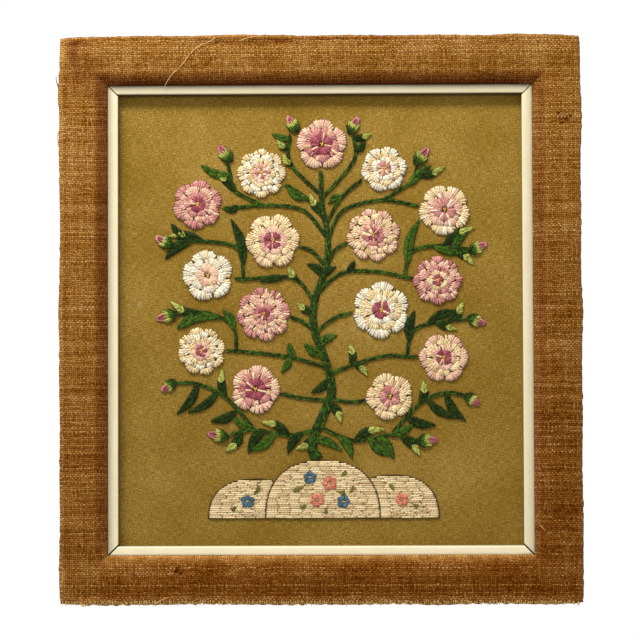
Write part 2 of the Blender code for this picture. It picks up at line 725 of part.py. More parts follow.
def build_mounds(collection, helpers):
    made = {}
    for name, x, half_width, height, base in MOUNDS:
        outline = mound_outline(half_width, height)
        made[name] = dome(name, x, base, outline, MOUND_HEIGHT, 36, 2, collection, "cream_wool")
    _, x, half_width, height, base = MOUNDS[0]
    wider = mound_outline(half_width + MOUND_CLEARANCE, height + MOUND_CLEARANCE)
    tall = MOUND_CUTTER_HEIGHT
    below = WOOL_BACK - MOUND_HEIGHT
    cutter = dome("mound_edge", x, base, wider, tall, 36, 2, helpers, None, below)
    for name, *_ in MOUNDS[1:]:
        cut(made[name], cutter)


def main():
    clear_scene()
    panel = new_collection("crewel_embroidery_panel")
    helpers = new_collection("cutters", is_helper=True)
    build_frame(panel)
    build_mounted_linen(panel, helpers)
    build_mounds(panel, helpers)
    build_tree(panel, helpers)
    build_blossoms(panel)
    build_buds(panel)


main()
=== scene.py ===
"""The looks of the framed crewel embroidery panel: weave, paint, wood and every stitch of wool.

Lengths are in millimetres on the panel's own plane, x to the right and z up from the middle
of the frame, with heights measured off the wall or off the linen, until they become points.
"""

import math

import bpy
import numpy as np
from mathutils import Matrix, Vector


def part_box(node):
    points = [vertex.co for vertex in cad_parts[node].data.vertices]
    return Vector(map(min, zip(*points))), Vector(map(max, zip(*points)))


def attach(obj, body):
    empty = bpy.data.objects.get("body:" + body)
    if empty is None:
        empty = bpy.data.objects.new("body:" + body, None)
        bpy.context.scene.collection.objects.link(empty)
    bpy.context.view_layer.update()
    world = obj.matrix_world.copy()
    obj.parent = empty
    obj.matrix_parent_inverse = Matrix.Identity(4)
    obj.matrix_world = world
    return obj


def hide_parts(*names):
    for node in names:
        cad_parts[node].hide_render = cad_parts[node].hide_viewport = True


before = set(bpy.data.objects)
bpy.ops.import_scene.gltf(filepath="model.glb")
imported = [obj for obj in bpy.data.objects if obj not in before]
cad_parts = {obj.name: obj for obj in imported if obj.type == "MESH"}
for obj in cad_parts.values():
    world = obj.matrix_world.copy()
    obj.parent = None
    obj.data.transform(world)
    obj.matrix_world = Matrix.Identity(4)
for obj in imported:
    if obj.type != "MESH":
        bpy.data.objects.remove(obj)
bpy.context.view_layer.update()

MM = 0.001
TURN = 2 * math.pi

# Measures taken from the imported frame, whose cover stands a little outside its rails
COVER_CLEARANCE = 1.6
SIDE_NAMES = ("top", "right", "bottom", "left")
RAIL = {side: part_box(f"rail_{side}") for side in SIDE_NAMES}
LINER = {side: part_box(f"liner_{side}") for side in SIDE_NAMES}
LINEN_LOW, LINEN_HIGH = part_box("linen_ground")
LEFT_EDGE = RAIL["left"][0].x / MM - COVER_CLEARANCE
RIGHT_EDGE = RAIL["right"][1].x / MM + COVER_CLEARANCE
BOTTOM_EDGE = RAIL["bottom"][0].z / MM - COVER_CLEARANCE
TOP_EDGE = RAIL["top"][1].z / MM + COVER_CLEARANCE
CENTRE_X = (LEFT_EDGE + RIGHT_EDGE) / 2
CENTRE_Z = (BOTTOM_EDGE + TOP_EDGE) / 2
WIDTH = RIGHT_EDGE - LEFT_EDGE
HEIGHT = TOP_EDGE - BOTTOM_EDGE
LINEN_FACE = -LINEN_LOW.y / MM
LINER_START = WIDTH / 2 - (LINER["right"][1].x / MM - CENTRE_X)
LINER_SIDE_END = WIDTH / 2 - (LINER["right"][0].x / MM - CENTRE_X)
LINER_TOP_END = HEIGHT / 2 - (LINER["top"][0].z / MM - CENTRE_Z)
LINER_FRONT = -LINER["top"][0].y / MM
LINER_BACK = -LINER["top"][1].y / MM

# Each side of the frame: quarter turns clockwise from the top, half length, distance out
SIDES = {
    "top": (0, WIDTH / 2, HEIGHT / 2),
    "right": (1, HEIGHT / 2, WIDTH / 2),
    "bottom": (2, WIDTH / 2, HEIGHT / 2),
    "left": (3, HEIGHT / 2, WIDTH / 2),
}

# Hessian: section from the turned-back edge round the rail to the rabbet, as distances in
# from the cover's outer edge and off the wall
RAIL_WIDTH = LINER_START - 0.3
COVER_SECTION = (
    (18, 0.05),
    (4, 0.05),
    (0.9, 0.3),
    (0.1, 1.8),
    (0, 8),
    (0, 20.6),
    (0.35, 23),
    (1.6, 24.5),
    (4.2, 25.1),
    (12, 25.3),
    (20, 25.25),
    (RAIL_WIDTH - 21, 25),
    (RAIL_WIDTH - 15, 24.5),
    (RAIL_WIDTH - 10.5, 23.5),
    (RAIL_WIDTH - 6.4, 21.4),
    (RAIL_WIDTH - 3.2, 18.7),
    (RAIL_WIDTH - 1.1, 15.8),
    (RAIL_WIDTH - 0.1, 13),
    (RAIL_WIDTH, 10),
    (RAIL_WIDTH, 6.1),
)
SECTION_STEP = 1.9
THREAD_PITCH = 2.07
COVER_STEP = 3.4
COVER_THICKNESS = 1.2
# Distance in from the outer edge where the weave's UV lies true on the panel
WEAVE_TRUE = 20.0

# Humps of the cover's outer edge: rail, place along it, length, out, forward
HUMPS = (
    ("top", -95, 150, 1.3, 1.6),
    ("top", -38, 60, 1, 0.9),
    ("top", 208, 62, 1.2, 1),
    ("right", -9, 70, 0.9, 0.3),
    ("right", -220, 90, 0.8, 0.2),
    ("bottom", -122, 80, 1.1, 0.3),
    ("bottom", 35, 70, 0.8, 0.2),
    ("bottom", 230, 70, 1, 0.4),
    ("left", 245, 60, 1.4, 1.2),
    ("left", 192, 60, 1.1, 0.9),
    ("left", 5, 80, 1.5, 0.8),
)

# The cover's outer edge by side: height of its short lumps, how far out it stands
LUMPS = {"top": 0.30, "right": 0.38, "bottom": 0.78, "left": 0.34}
OUT_SHIFT = {"top": 1.5, "right": 0.5, "bottom": 0.8, "left": 0.4}

# Wear and painted light by side: wear at the outer edge, a painted highlight on the inner
# lip, painted shade on the slope and near the rabbet, where less than 0 is painted light
WORN_EDGE = {"top": 0.10, "right": 0.22, "bottom": 0.60, "left": 0.42}
LIP_HIGHLIGHT = {"top": 0.0, "right": 0.12, "bottom": 0.62, "left": 0.0}
SLOPE_SHADE = {"top": 0.32, "right": 0.32, "bottom": -0.1, "left": 0.46}
RABBET_SHADE = {"top": 0.60, "right": -0.20, "bottom": -0.45, "left": -0.1}

# Paler and darker places: x, z and their half sizes, how much paler, how much darker
PATCHES = (
    (-278.5, 290, 7, 20, 1, 0),
    (-267.5, 290, 9, 24, 0, 0.5),
    (-262, 301, 22, 6, 0, 0.5),
    (-20, 305, 270, 3.4, 0, 0.34),
    (-42, 302.5, 20, 3.2, 0, 0.45),
    (-112, 303, 9, 2.6, 0, 0.40),
    (23, 305, 10, 2.6, 0, 0.45),
    (-278, -280, 5.5, 30, 0.4, 0),
    (-279, 214, 4, 14, 0.7, 0),
    (236, -224, 3, 1.6, 0.9, 0),
    (244, 245, 26, 12, 0, 0.2),
    (-154, -271.5, 8, 5, 0, 0.5),
    (-256, 268, 34, 38, 0, 0.30),
    (-242, 288, 4.5, 3.5, 0.9, 0),
    (265, 217, 10, 6.5, 0, 0.4),
    (-238, 244, 20, 16, 0, 0.2),
)

# Open mitres of the liner: how far its ends stand back at the top and at the bottom
MITRE_GAPS = (0.72, 1.15)

# Painted shade on the liner, partly grubby paint: at its outer edge, all over its face, on its inner
# wall
LINER_SHADE_AND_GRIME = {
    "top": (0.62, 0.20, 0.97),
    "right": (0.26, 0.13, 0.75),
    "bottom": (0.0, 0.0, 0.45),
    "left": (0.56, 0.07, 0.94),
}

# The linen's thread pitch, thickness, edge and turned-back strip, and its pale mark: x, z,
# half sizes
LINEN_PITCH = 0.78
LINEN_THICKNESS = 0.9
LINEN_TURNED_BACK = 22.0
STAIN = (CENTRE_X - 197.0, CENTRE_Z + 17.0, 4.0, 6.5)

# Short cut ends of thread: side, how many, how far in they start, how far out they reach,
# radius
FRAYS = (
    ("bottom", 470, 4.6, 2.6, 0.44),
    ("left", 120, 4.0, 0.9, 0.36),
    ("top", 80, 2.6, 0.8, 0.30),
    ("right", 80, 2.6, 0.8, 0.30),
)
FRAY_ROOT_HEIGHT = 26.0
FRAY_END_HEIGHTS = (22.6, 25.0)

# Loose threads and the stray hair: x and z of both ends, bow, radius, height at each end
LOOSE_THREADS = (
    (-112.8, 305.3, -126.8, 298.8, 1, 0.50, 27.4, 26.6),
    (-126.8, 298.8, -143, 284.8, -1, 0.50, 26.6, 26.2),
    (-143, 284.8, -154.9, 270.8, 1, 0.50, 26.2, 26),
    (-154.9, 270.8, -169.5, 251.9, -1.5, 0.50, 26, 18),
    (-85.8, 302.1, -62, 306.4, 1.5, 0.40, 27.6, 27.4),
    (-178.6, -306, -164.6, -299.5, 1, 0.44, 26.2, 26.2),
    (-260, -306.5, -254.5, -309, 0.8, 0.80, 25, 24),
    (-259, -308, -253, -308.2, -0.6, 0.80, 24.6, 24),
    (-283.6, 221, -284.6, 200, 1.6, 0.50, 20, 21),
    (236.2, -223.4, 240.6, -229, 0.5, 0.50, 26, 25.6),
    (-283.4, 206, -284.4, 188.7, -1.2, 0.45, 22, 20),
)
HAIR = (
    (-281.8, 249.8, -286.2, 265.4, 1.2, 0.60, 24, 23),
)

# Dark knots left in the hessian's yarn: radius, height off the wall, and the x and z of each
NUB_RADIUS = 0.95
NUB_HEIGHT = 25.4
NUBS = (
    (266.4, 215.7),
    (202.6, -291.9),
    (-256.4, -294.1),
    (258.5, 222),
    (271.5, 219),
    (262, 211.5),
    (-157, -271),
    (-151, -273.5),
    (-154.5, -267.5),
)

# Trunk of the worked tree: x, z, half width
TRUNK = (
    (-4, -153, 6.4),
    (-10, -134, 5.4),
    (2, -106, 5),
    (12, -78, 4.6),
    (5, -44, 4.2),
    (-7, -10, 4),
    (-6, 22, 3.6),
    (6, 56, 3.3),
    (8, 92, 2.9),
    (2, 126, 2.5),
    (1, 162, 2),
)

# Branches: the points each one runs through, from the trunk outwards
BRANCHES = (
    ((6, 108), (-14, 132), (-39.6, 148.6)),
    ((6, 104), (24, 134), (46.6, 152.6)),
    ((8, 88), (-18, 119), (-58, 125), (-96, 122), (-107.2, 123.2)),
    ((8, 84), (24, 118), (64, 130), (96, 126), (108.2, 122.5)),
    ((6, 58), (-8, 74), (-22.6, 80)),
    ((6, 56), (16, 76), (30.2, 84)),
    ((-7, 18), (-26, 44), (-58, 46), (-84, 44), (-94.2, 46.2)),
    ((-5, 26), (22, 50), (62, 52), (92, 46), (102.2, 44)),
    ((-7, -12), (-20, -2), (-33.4, 2.8)),
    ((-5, -14), (16, 2), (35.2, 7)),
    ((6, -52), (-28, -42), (-66, -36.5), (-94, -34), (-104.2, -33.6)),
    ((8, -60), (34, -50), (70, -40), (96, -41), (107.2, -41.4)),
    ((9, -88), (-18, -86), (-45.2, -80)),
    ((11, -86), (30, -90), (50.2, -88.4)),
    ((-2, -118), (-34, -126), (-72, -120), (-100.4, -125)),
    ((-3, -116), (36, -132), (76, -126), (104.4, -131.6)),
    ((1.5, 136), (-26, 162), (-35, 180), (-31.6, 203.4)),
    ((1.5, 132), (29, 162), (39, 180), (36, 201.6)),
    ((-62, 125.2), (-92, 140), (-98, 158), (-100.9, 171.6)),
    ((68, 130), (98, 148), (104, 158), (106.6, 169)),
    ((-84, 44), (-90, 78), (-128, 86), (-162.2, 84.4)),
    ((92, 46), (99, 73), (128, 80), (162.4, 75.8)),
    ((-92, -34.2), (-96, -6), (-126, 8), (-157.4, 5.8)),
    ((94, -41), (100, -14), (124, -4), (160.2, -0.4)),
    ((-72, -120), (-104, -84), (-134, -70), (-158.4, -68.6)),
    ((76, -126), (108, -92), (136, -80), (157.4, -84)),
)
BRANCH_HALF_WIDTH = 1.7

# Leaves: foot x and z, direction in degrees, length, width, bend
LEAVES = (
    (-14, 132, 150, 26, 8, 3),
    (24, 134, 205, 17, 7, -2),
    (-30, 168, 128, 16, 7, 2),
    (-34, 186, 140, 17, 7, 2),
    (38, 184, 42, 16, 7, -2),
    (-92, 140, 138, 30, 8, -2),
    (-98, 158, 160, 34, 8, 4),
    (98, 146, 44, 32, 8, 2),
    (104, 158, 15, 34, 8, -4),
    (-90, 124, 196, 15, 7, 2),
    (-84, 60, 105, 52, 9, -4),
    (-128, 86, 172, 38, 8, -4),
    (95, 60, 75, 50, 9, 4),
    (124, 79, -8, 38, 8, -3),
    (134, 80, 30, 40, 8, 3),
    (-26, 44, 120, 16, 7, 2),
    (-40, 46, 190, 26, 7, -1),
    (30, 52, 60, 14, 6, -1),
    (-95, -10, 120, 24, 8, -3),
    (-110, 3, 195, 40, 8, -5),
    (-130, 8, 160, 36, 8, 5),
    (97, -24, 80, 34, 9, 3),
    (116, -6, 20, 40, 8, 5),
    (126, -4, -18, 24, 7, -1),
    (-28, -42, 110, 18, 7, 2),
    (-34, -42, 240, 18, 7, 2),
    (34, -50, 95, 24, 7, -2),
    (38, -49, -45, 18, 7, 2),
    (9, -66, 215, 24, 8, 2),
    (-34, -126, 155, 34, 8, -4),
    (-50, -123, 215, 34, 9, 4),
    (-72, -120, 150, 28, 8, 2),
    (-104, -84, 95, 30, 8, 3),
    (-112, -78, 215, 40, 8, 4),
    (-134, -70, 235, 40, 8, 4),
    (36, -132, 20, 36, 8, 4),
    (52, -129, -35, 34, 9, -4),
    (76, -126, 25, 28, 8, -2),
    (108, -92, 82, 26, 8, -3),
    (116, -88, -30, 40, 8, -4),
    (136, -80, -55, 38, 8, -4),
    (-6, -126, 215, 26, 8, 3),
    (-9, -130, -22, 34, 8, 3),
    (-33, 198, 165, 20, 7, 2),
    (37, 198, 15, 20, 7, -2),
    (-140, 86, 140, 30, 9, 3),
    (-140, 87, 215, 36, 9, -3),
    (140, 78, -35, 34, 9, 3),
    (146, 77, 50, 28, 9, 3),
    (-140, 8, 225, 24, 9, 3),
    (138, -3, 50, 28, 9, -3),
    (-20, -123, 235, 28, 9, -3),
    (-62, -121, 235, 30, 9, -3),
    (-86, -122, 230, 28, 9, 3),
    (20, -127, -60, 28, 9, 3),
    (62, -128, -55, 30, 9, 3),
    (88, -129, -45, 28, 9, 3),
    (-92, -100, 200, 30, 9, 3),
    (94, -107, -15, 32, 9, -3),
    (10, -92, -60, 24, 9, 3),
    (3, -38, 150, 24, 9, 3),
    (-1, -28, 30, 22, 8, 2),
    (-8, 8, 150, 20, 8, 2),
    (4, 48, 145, 22, 8, -2),
    (1, 46, 35, 20, 8, 2),
    (4, 116, 125, 26, 8, 3),
)
LEAF_FULLNESS = 1.18

# Blossoms: petals, turn in degrees, the wools of the rings from the edge inwards, flecks
BLOSSOMS = (
    (5, 18, ("pale_pink", "dusty_pink", "mauve"), "cream"),
    (8, 0, ("cream", "white", "cream", "pale_pink", "dusty_pink"), "white"),
    (6, 10, ("white", "cream", "white", "dusty_pink"), "cream"),
    (6, 20, ("dusty_pink", "pale_pink", "dusty_pink", "mauve"), "pale_pink"),
    (5, 50, ("cream", "pale_pink", "dusty_pink"), "white"),
    (6, 5, ("cream", "cream", "pale_pink", "mauve"), "pale_pink"),
    (8, 12, ("pale_pink", "cream", "pale_pink", "dusty_pink", "mauve"), "cream"),
    (5, 30, ("white", "white", "pale_pink"), "cream"),
    (8, 0, ("dusty_pink", "pale_pink", "dusty_pink", "cream", "mauve"), "pale_pink"),
    (8, 8, ("dusty_pink", "pale_pink", "pale_pink", "dusty_pink", "mauve"), "cream"),
    (6, 25, ("white", "cream", "white", "mauve"), "cream"),
    (8, 15, ("cream", "white", "cream", "pale_pink", "mauve"), "cream"),
    (6, 0, ("pale_pink", "cream", "pale_pink", "mauve"), "cream"),
    (5, 0, ("pale_pink", "dusty_pink", "mauve"), "cream"),
    (5, 40, ("cream", "cream", "dusty_pink"), "pale_pink"),
)

# Rings of a blossom by its number of petals: outer share, inner share, petals, turn in half
# petals
RINGS = {
    5: ((1.00, 0.60, 5, 0), (0.74, 0.36, 5, 1), (0.50, 0.10, 5, 0)),
    6: ((1.00, 0.64, 6, 0), (0.79, 0.44, 6, 1), (0.58, 0.23, 5, 0), (0.37, 0.04, 4, 1)),
    8: (
        (1.00, 0.70, 8, 0),
        (0.82, 0.52, 8, 1),
        (0.64, 0.33, 7, 0),
        (0.46, 0.15, 5, 1),
        (0.28, 0.02, 4, 0),
    ),
}
RING_RISE = 0.5

# Buds: direction of the tip in degrees, length, width
BUDS = (
    (120, 22, 14),
    (60, 22, 14),
    (130, 24, 15),
    (50, 24, 15),
    (150, 22, 14),
    (25, 22, 14),
    (195, 24, 15),
    (-20, 22, 14),
    (170, 24, 15),
    (5, 24, 15),
    (215, 20, 13),
    (-35, 20, 13),
)

# Bands of a bud: wool, from, to, how far across, stitches, height of the padding
BUD_BANDS = (
    ("dusty_pink", 0.50, 0.97, 0.80, 6, 0.4),
    ("mauve", 0.52, 0.90, 0.30, 2, 1.2),
    ("lime", 0.24, 0.66, 0.95, 7, 0.9),
    ("mid_green", 0.10, 0.48, 0.95, 6, 1.2),
    ("dark_green", 0.00, 0.34, 1.0, 5, 1.3),
)

# Mounds: x, half width, height, foot, and the power of the curve that their arches follow
MOUNDS = {
    "mound_middle": (2, 62, 62, -216),
    "mound_left": (-72, 50, 42, -216),
    "mound_right": (78, 50, 46, -216),
}
ARCH_POWER = 2.4
ROW_PITCH = 2.05

# Small blossoms on the mounds: wool, and the olive sprigs: foot x and z, direction, length
SMALL_BLOSSOMS = ("blue", "coral", "coral", "blue", "blue", "coral")
SPRIGS = (
    (-16, -180, 205, 12),
    (-20, -188, 160, 12),
    (16, -186, -20, 12),
    (20, -172, 40, 12),
    (30, -190, 55, 12),
    (-14, -200, 215, 11),
    (6, -204, 260, 8),
    (-90, -202, 215, 10),
    (-72, -190, 60, 11),
    (98, -200, -30, 10),
    (80, -188, 120, 12),
)

# Dye lots of the wools: darker and lighter strands, as display colours
WOOLS = {
    "cream": ((196, 160, 108), (252, 230, 182)),
    "white": ((196, 184, 156), (255, 247, 224)),
    "pale_pink": ((192, 138, 114), (246, 206, 180)),
    "dusty_pink": ((152, 82, 80), (222, 158, 148)),
    "mauve": ((114, 42, 56), (176, 94, 106)),
    "dark_green": ((4, 14, 1), (46, 68, 16)),
    "mid_green": ((14, 38, 3), (74, 108, 26)),
    "lime": ((98, 104, 26), (192, 194, 98)),
    "olive": ((72, 68, 20), (140, 132, 58)),
    "blue": ((30, 56, 78), (92, 128, 148)),
    "coral": ((178, 80, 66), (240, 152, 128)),
    "yellow": ((176, 128, 34), (234, 200, 92)),
    "outline": ((48, 36, 14), (88, 70, 32)),
}

# A stitch: stations along it, with its lift, width and share risen out of the cloth at each,
# then its flatness, the points round it, the length of a twist and the dice for its chances
STATIONS = np.array((0.0, 0.12, 0.36, 0.64, 0.88, 1.0))
ARCH = np.array((-0.40, 0.72, 1.0, 1.0, 0.72, -0.40))
TAPER = np.array((0.70, 0.96, 1.0, 1.0, 0.96, 0.70))
RISE = np.array((0.0, 0.5, 1.0, 1.0, 0.5, 0.0))
FLATNESS = 0.80
AROUND = 6
TWIST_LENGTH = 3.4
DICE = np.random.default_rng(7)

# Camera as in the photo, and the room's floor and lights
CAMERA_DISTANCE = 2.0
PIXEL = 1.08
FRAME_PIXELS = 640
SENSOR = 36.0
CAMERA_AZIMUTH = 0.6
CAMERA_ELEVATION = -1.5
CAMERA_ROLL = -0.2
AIM_SHIFT = (-0.0003, 0.0, -0.0011)
FLOOR_DROP = 1.25
FLOOR_RADIUS = 4.0
AMBIENT = 0.45
KEY = 0.63
KEY_PLACE = (-0.60, -1.03, 1.85)
KEY_WIDTH = 1.2
KEY_HEIGHT = 0.26


def srgb(red, green, blue):
    """A colour given as 0 to 255 display values, in linear light."""
    linear = []
    for value in (red, green, blue):
        value /= 255
        linear.append(value / 12.92 if value <= 0.04045 else ((value + 0.055) / 1.055) ** 2.4)
    return tuple(linear)


# Shader building


def maths(operation, reflected=False):
    """A method of Value that adds one Math node, with its inputs turned round if reflected."""

    def method(self, *others):
        inputs = [*others, self] if reflected else [self, *others]
        return self.finish.node("ShaderNodeMath", {"operation": operation}, inputs)

    return method


class Value:
    """A shader socket in arithmetic: each operator adds one Math node to its finish."""

    def __init__(self, finish, socket):
        self.finish = finish
        self.socket = socket

    __add__ = __radd__ = maths("ADD")
    __mul__ = __rmul__ = maths("MULTIPLY")
    __sub__ = maths("SUBTRACT")
    __rsub__ = maths("SUBTRACT", reflected=True)
    __truediv__ = maths("DIVIDE")
    __rtruediv__ = maths("DIVIDE", reflected=True)
    __pow__ = maths("POWER")
    __rpow__ = maths("POWER", reflected=True)
    floor = maths("FLOOR")
    fract = maths("FRACT")
    sin = maths("SINE")
    cos = maths("COSINE")
    above = maths("GREATER_THAN")
    most = maths("MAXIMUM")
    least = maths("MINIMUM")

    def between(self, low, high):
        """0 at low and 1 at high, held at its ends and smooth between them."""
        settings = {"interpolation_type": "SMOOTHSTEP"}
        return self.finish.node("ShaderNodeMapRange", settings, [self, low, high, 0.0, 1.0])


class Finish:
    """One material and the calls that add its nodes."""

    def __init__(self, name, roughness=0.8, sheen=0.0, specular=0.5):
        self.material = bpy.data.materials.new(name)
        self.material.use_nodes = True
        self.tree = self.material.node_tree
        self.surface = self.tree.nodes["Principled BSDF"]
        self.surface.inputs["Roughness"].default_value = roughness
        self.surface.inputs["Sheen Weight"].default_value = sheen
        self.surface.inputs["Specular IOR Level"].default_value = specular

    def node(self, kind, settings=None, values=(), output=0):
        """Adds a node: its settings first, then a value or a link for each socket."""
        made = self.tree.nodes.new(kind)
        for name, setting in (settings or {}).items():
            if name == "stops":
                self.set_stops(made.color_ramp, setting)
            else:
                setattr(made, name, setting)
        pairs = values.items() if isinstance(values, dict) else enumerate(values)
        for key, value in pairs:
            socket = made.inputs[key]
            if isinstance(value, Value):
                self.tree.links.new(value.socket, socket)
            elif socket.type == "RGBA":
                socket.default_value = (*value, 1.0)
            else:
                socket.default_value = value
        return Value(self, made.outputs[output])

    @staticmethod
    def set_stops(ramp, stops):
        """Gives a colour ramp these places and colours."""
        while len(ramp.elements) < len(stops):
            ramp.elements.new(0.5)
        for element, (place, colour) in zip(ramp.elements, stops):
            element.position = place
            element.color = (*srgb(*colour), 1.0)

    def place(self):
        """The piece's Object coordinates."""
        return self.node("ShaderNodeTexCoord", output=3)

    def parts(self, vector):
        """The three numbers of a vector."""
        split = self.node("ShaderNodeSeparateXYZ", {}, [vector])
        return [Value(self, socket) for socket in split.socket.node.outputs]

    def uv(self, name):
        """The numbers of one of the piece's UV maps."""
        return self.parts(self.node("ShaderNodeUVMap", {"uv_map": name}))

    def attribute(self, name):
        """One of the piece's own values at each point."""
        return self.node("ShaderNodeAttribute", {"attribute_name": name}, output=2)

    def noise(self, vector, scale, detail=2.0, rough=0.5):
        """Soft noise round a half at a scale."""
        values = {"Vector": vector, "Scale": scale, "Detail": detail, "Roughness": rough}
        return self.node("ShaderNodeTexNoise", {}, values)

    def blotch(self, x, y, z=0.0, detail=2.0, rough=0.5):
        """Soft noise at the place that these numbers make."""
        return self.noise(self.node("ShaderNodeCombineXYZ", {}, [x, y, z]), 1.0, detail, rough)

    def chance(self, number):
        """A fixed random number for each whole number."""
        return self.node("ShaderNodeTexWhiteNoise", {"noise_dimensions": "1D"}, {"W": number})

    def ramp(self, factor, *stops):
        """A colour from stops, each a place along the factor and a display colour."""
        return self.node("ShaderNodeValToRGB", {"stops": stops}, [factor])

    def mix(self, factor, first, second, blend="MIX"):
        """Two colours mixed, or multiplied, by a factor."""
        settings = {"data_type": "RGBA", "blend_type": blend}
        return self.node("ShaderNodeMix", settings, {0: factor, 6: first, 7: second}, output=2)

    def shaded(self, colour, factor):
        """A colour made darker or lighter by a number."""
        grey = self.node("ShaderNodeCombineColor", {}, [factor, factor, factor])
        return self.mix(1.0, colour, grey, "MULTIPLY")

    def paint(self, colour, roughness=None, relief=None, depth=1.0):
        """Links the finished colour, roughness and relief, whose depth is in millimetres."""
        sockets = self.surface.inputs
        self.tree.links.new(colour.socket, sockets["Base Color"])
        if roughness is not None:
            self.tree.links.new(roughness.socket, sockets["Roughness"])
        if relief is not None:
            bump = self.node("ShaderNodeBump", {}, {"Distance": depth * MM, "Height": relief})
            self.tree.links.new(bump.socket, sockets["Normal"])
        return self.material


def hessian_finish():
    """Coarse plain weave: rounded threads that pass over and under, with slubs and holes.

    The threads lie a whole number apart in the weave's own UV, after a slow drift of whole
    rows and a bend of each thread. A thread is half an ellipse in section and rises and falls
    by a cosine, and the higher of the two threads shows.
    """
    finish = Finish("golden_hessian", roughness=0.92, sheen=0.01, specular=0.02)
    across, along, _ = finish.uv("weave")
    drift = finish.blotch(across * 0.035, along * 0.14) - 0.5
    sway = finish.blotch(across * 0.14, along * 0.035, 5.0) - 0.5
    warp_bend = finish.blotch(across.floor() * 5.1, along * 0.22, 2.0) - 0.5
    weft_bend = finish.blotch(across * 0.22, along.floor() * 5.1, 6.0) - 0.5
    p = across + drift * 2.0 + warp_bend
    q = along + sway * 2.0 + weft_bend
    warp = p.floor()
    weft = q.floor()
    warp_chance = finish.chance(warp)
    weft_chance = finish.chance(weft + 400.5)
    warp_slub = finish.blotch(warp * 3.7, q * 0.30)
    weft_slub = finish.blotch(p * 0.30, weft * 3.7, 9.0)
    warp_width = 0.24 + warp_chance * 0.06 + warp_slub * 0.24
    weft_width = 0.22 + weft_chance * 0.12 + weft_slub * 0.24
    warp_round = (1 - ((p.fract() - 0.5) / warp_width) ** 2).most(0.0)
    weft_round = (1 - ((q.fract() - 0.5) / weft_width) ** 2).most(0.0)
    warp_wave = ((q - 0.5 + warp) * math.pi).cos()
    weft_wave = ((p - 0.5 + weft) * math.pi).cos() * -1
    warp_height = (warp_round**0.5) * (0.56 + warp_wave * 0.44)
    weft_height = (weft_round**0.5) * (0.56 + weft_wave * 0.44)
    height = warp_height.most(weft_height)
    on_top = warp_height.above(weft_height)
    thread = (warp_chance * 0.5 + 0.25) * on_top + weft_chance * (1 - on_top)
    slub = warp_slub * on_top + weft_slub * (1 - on_top)
    fibre = finish.blotch(p * 2.2, q * 2.2, detail=4.0, rough=0.7)
    patch = finish.blotch(across * 0.05, along * 0.05, detail=3.0)
    cell = finish.chance(warp * 1.7 + weft * 61.3)
    tone = thread * 0.22 + slub * 0.24 + cell * 0.16 + fibre * 0.48 + (patch - 0.5) * 0.30
    # Browner towards the bottom of the frame, but less so on the left rail
    x, _, z = finish.parts(finish.place())
    left_rail = 1 - x.between((LEFT_EDGE + 25.0) * MM, (LEFT_EDGE + 80.0) * MM)
    lowness = (1 - z.between(BOTTOM_EDGE * MM, TOP_EDGE * MM)) * (1 - left_rail * 0.36)
    shaded_side = x.between(LEFT_EDGE * MM, RIGHT_EDGE * MM)
    golden = finish.ramp(
        tone, (0.14, (76, 26, 0)), (0.40, (137, 81, 2)), (0.62, (190, 140, 70)), (0.96, (240, 208, 160))
    )
    browned = finish.ramp(
        tone, (0.14, (48, 10, 0)), (0.40, (105, 48, 0)), (0.62, (154, 97, 32)), (0.96, (230, 192, 140))
    )
    yarn = finish.mix(lowness, golden, browned)
    # Wear and the lips' painted highlight are paler; painted shade and soiling are darker and
    # redder, and so is the painted shade in the hollows between threads
    pale = finish.mix(finish.attribute("worn") * 0.75, yarn, srgb(218, 172, 98))
    soil = finish.attribute("soil")
    dirt_and_shade = soil.most(0.0)
    shaded_and_soiled = finish.mix(dirt_and_shade, pale, (0.14, 0.04, 0.0), "MULTIPLY")
    shaded_and_soiled = finish.mix(dirt_and_shade * 0.6, shaded_and_soiled, (1.0, 0.30, 0.0), "MULTIPLY")
    # Painted shade in the hollows between the threads, made uneven by a noise, darker and redder
    hole = finish.blotch(p * 0.45, q * 0.45, 3.0, detail=3.0, rough=0.7)
    hollow_shade = (1 - height.between(0.0, 0.84)) * (0.46 + hole).least(0.97)
    shaded_hollows = finish.mix(hollow_shade, shaded_and_soiled, (0.22, 0.08, 0.0), "MULTIPLY")
    shaded_hollows = finish.mix(hollow_shade * 0.45, shaded_hollows, (1.0, 0.90, 0.20), "MULTIPLY")
    # Painted light where the shade value is below 0, on the lower slopes and lips that face the light
    painted_light = 1 - soil.least(0.0)
    # Painted light: warp and weft crowns are lit unlike each other, and the frame's right side is a
    # little darker, as shaded from the light
    light_facing = 1.13 - on_top * 0.26
    shade = light_facing * (0.95 - shaded_side * 0.035) * painted_light
    relief = height + fibre * 0.25
    return finish.paint(finish.shaded(shaded_hollows, shade), relief=relief, depth=0.8)


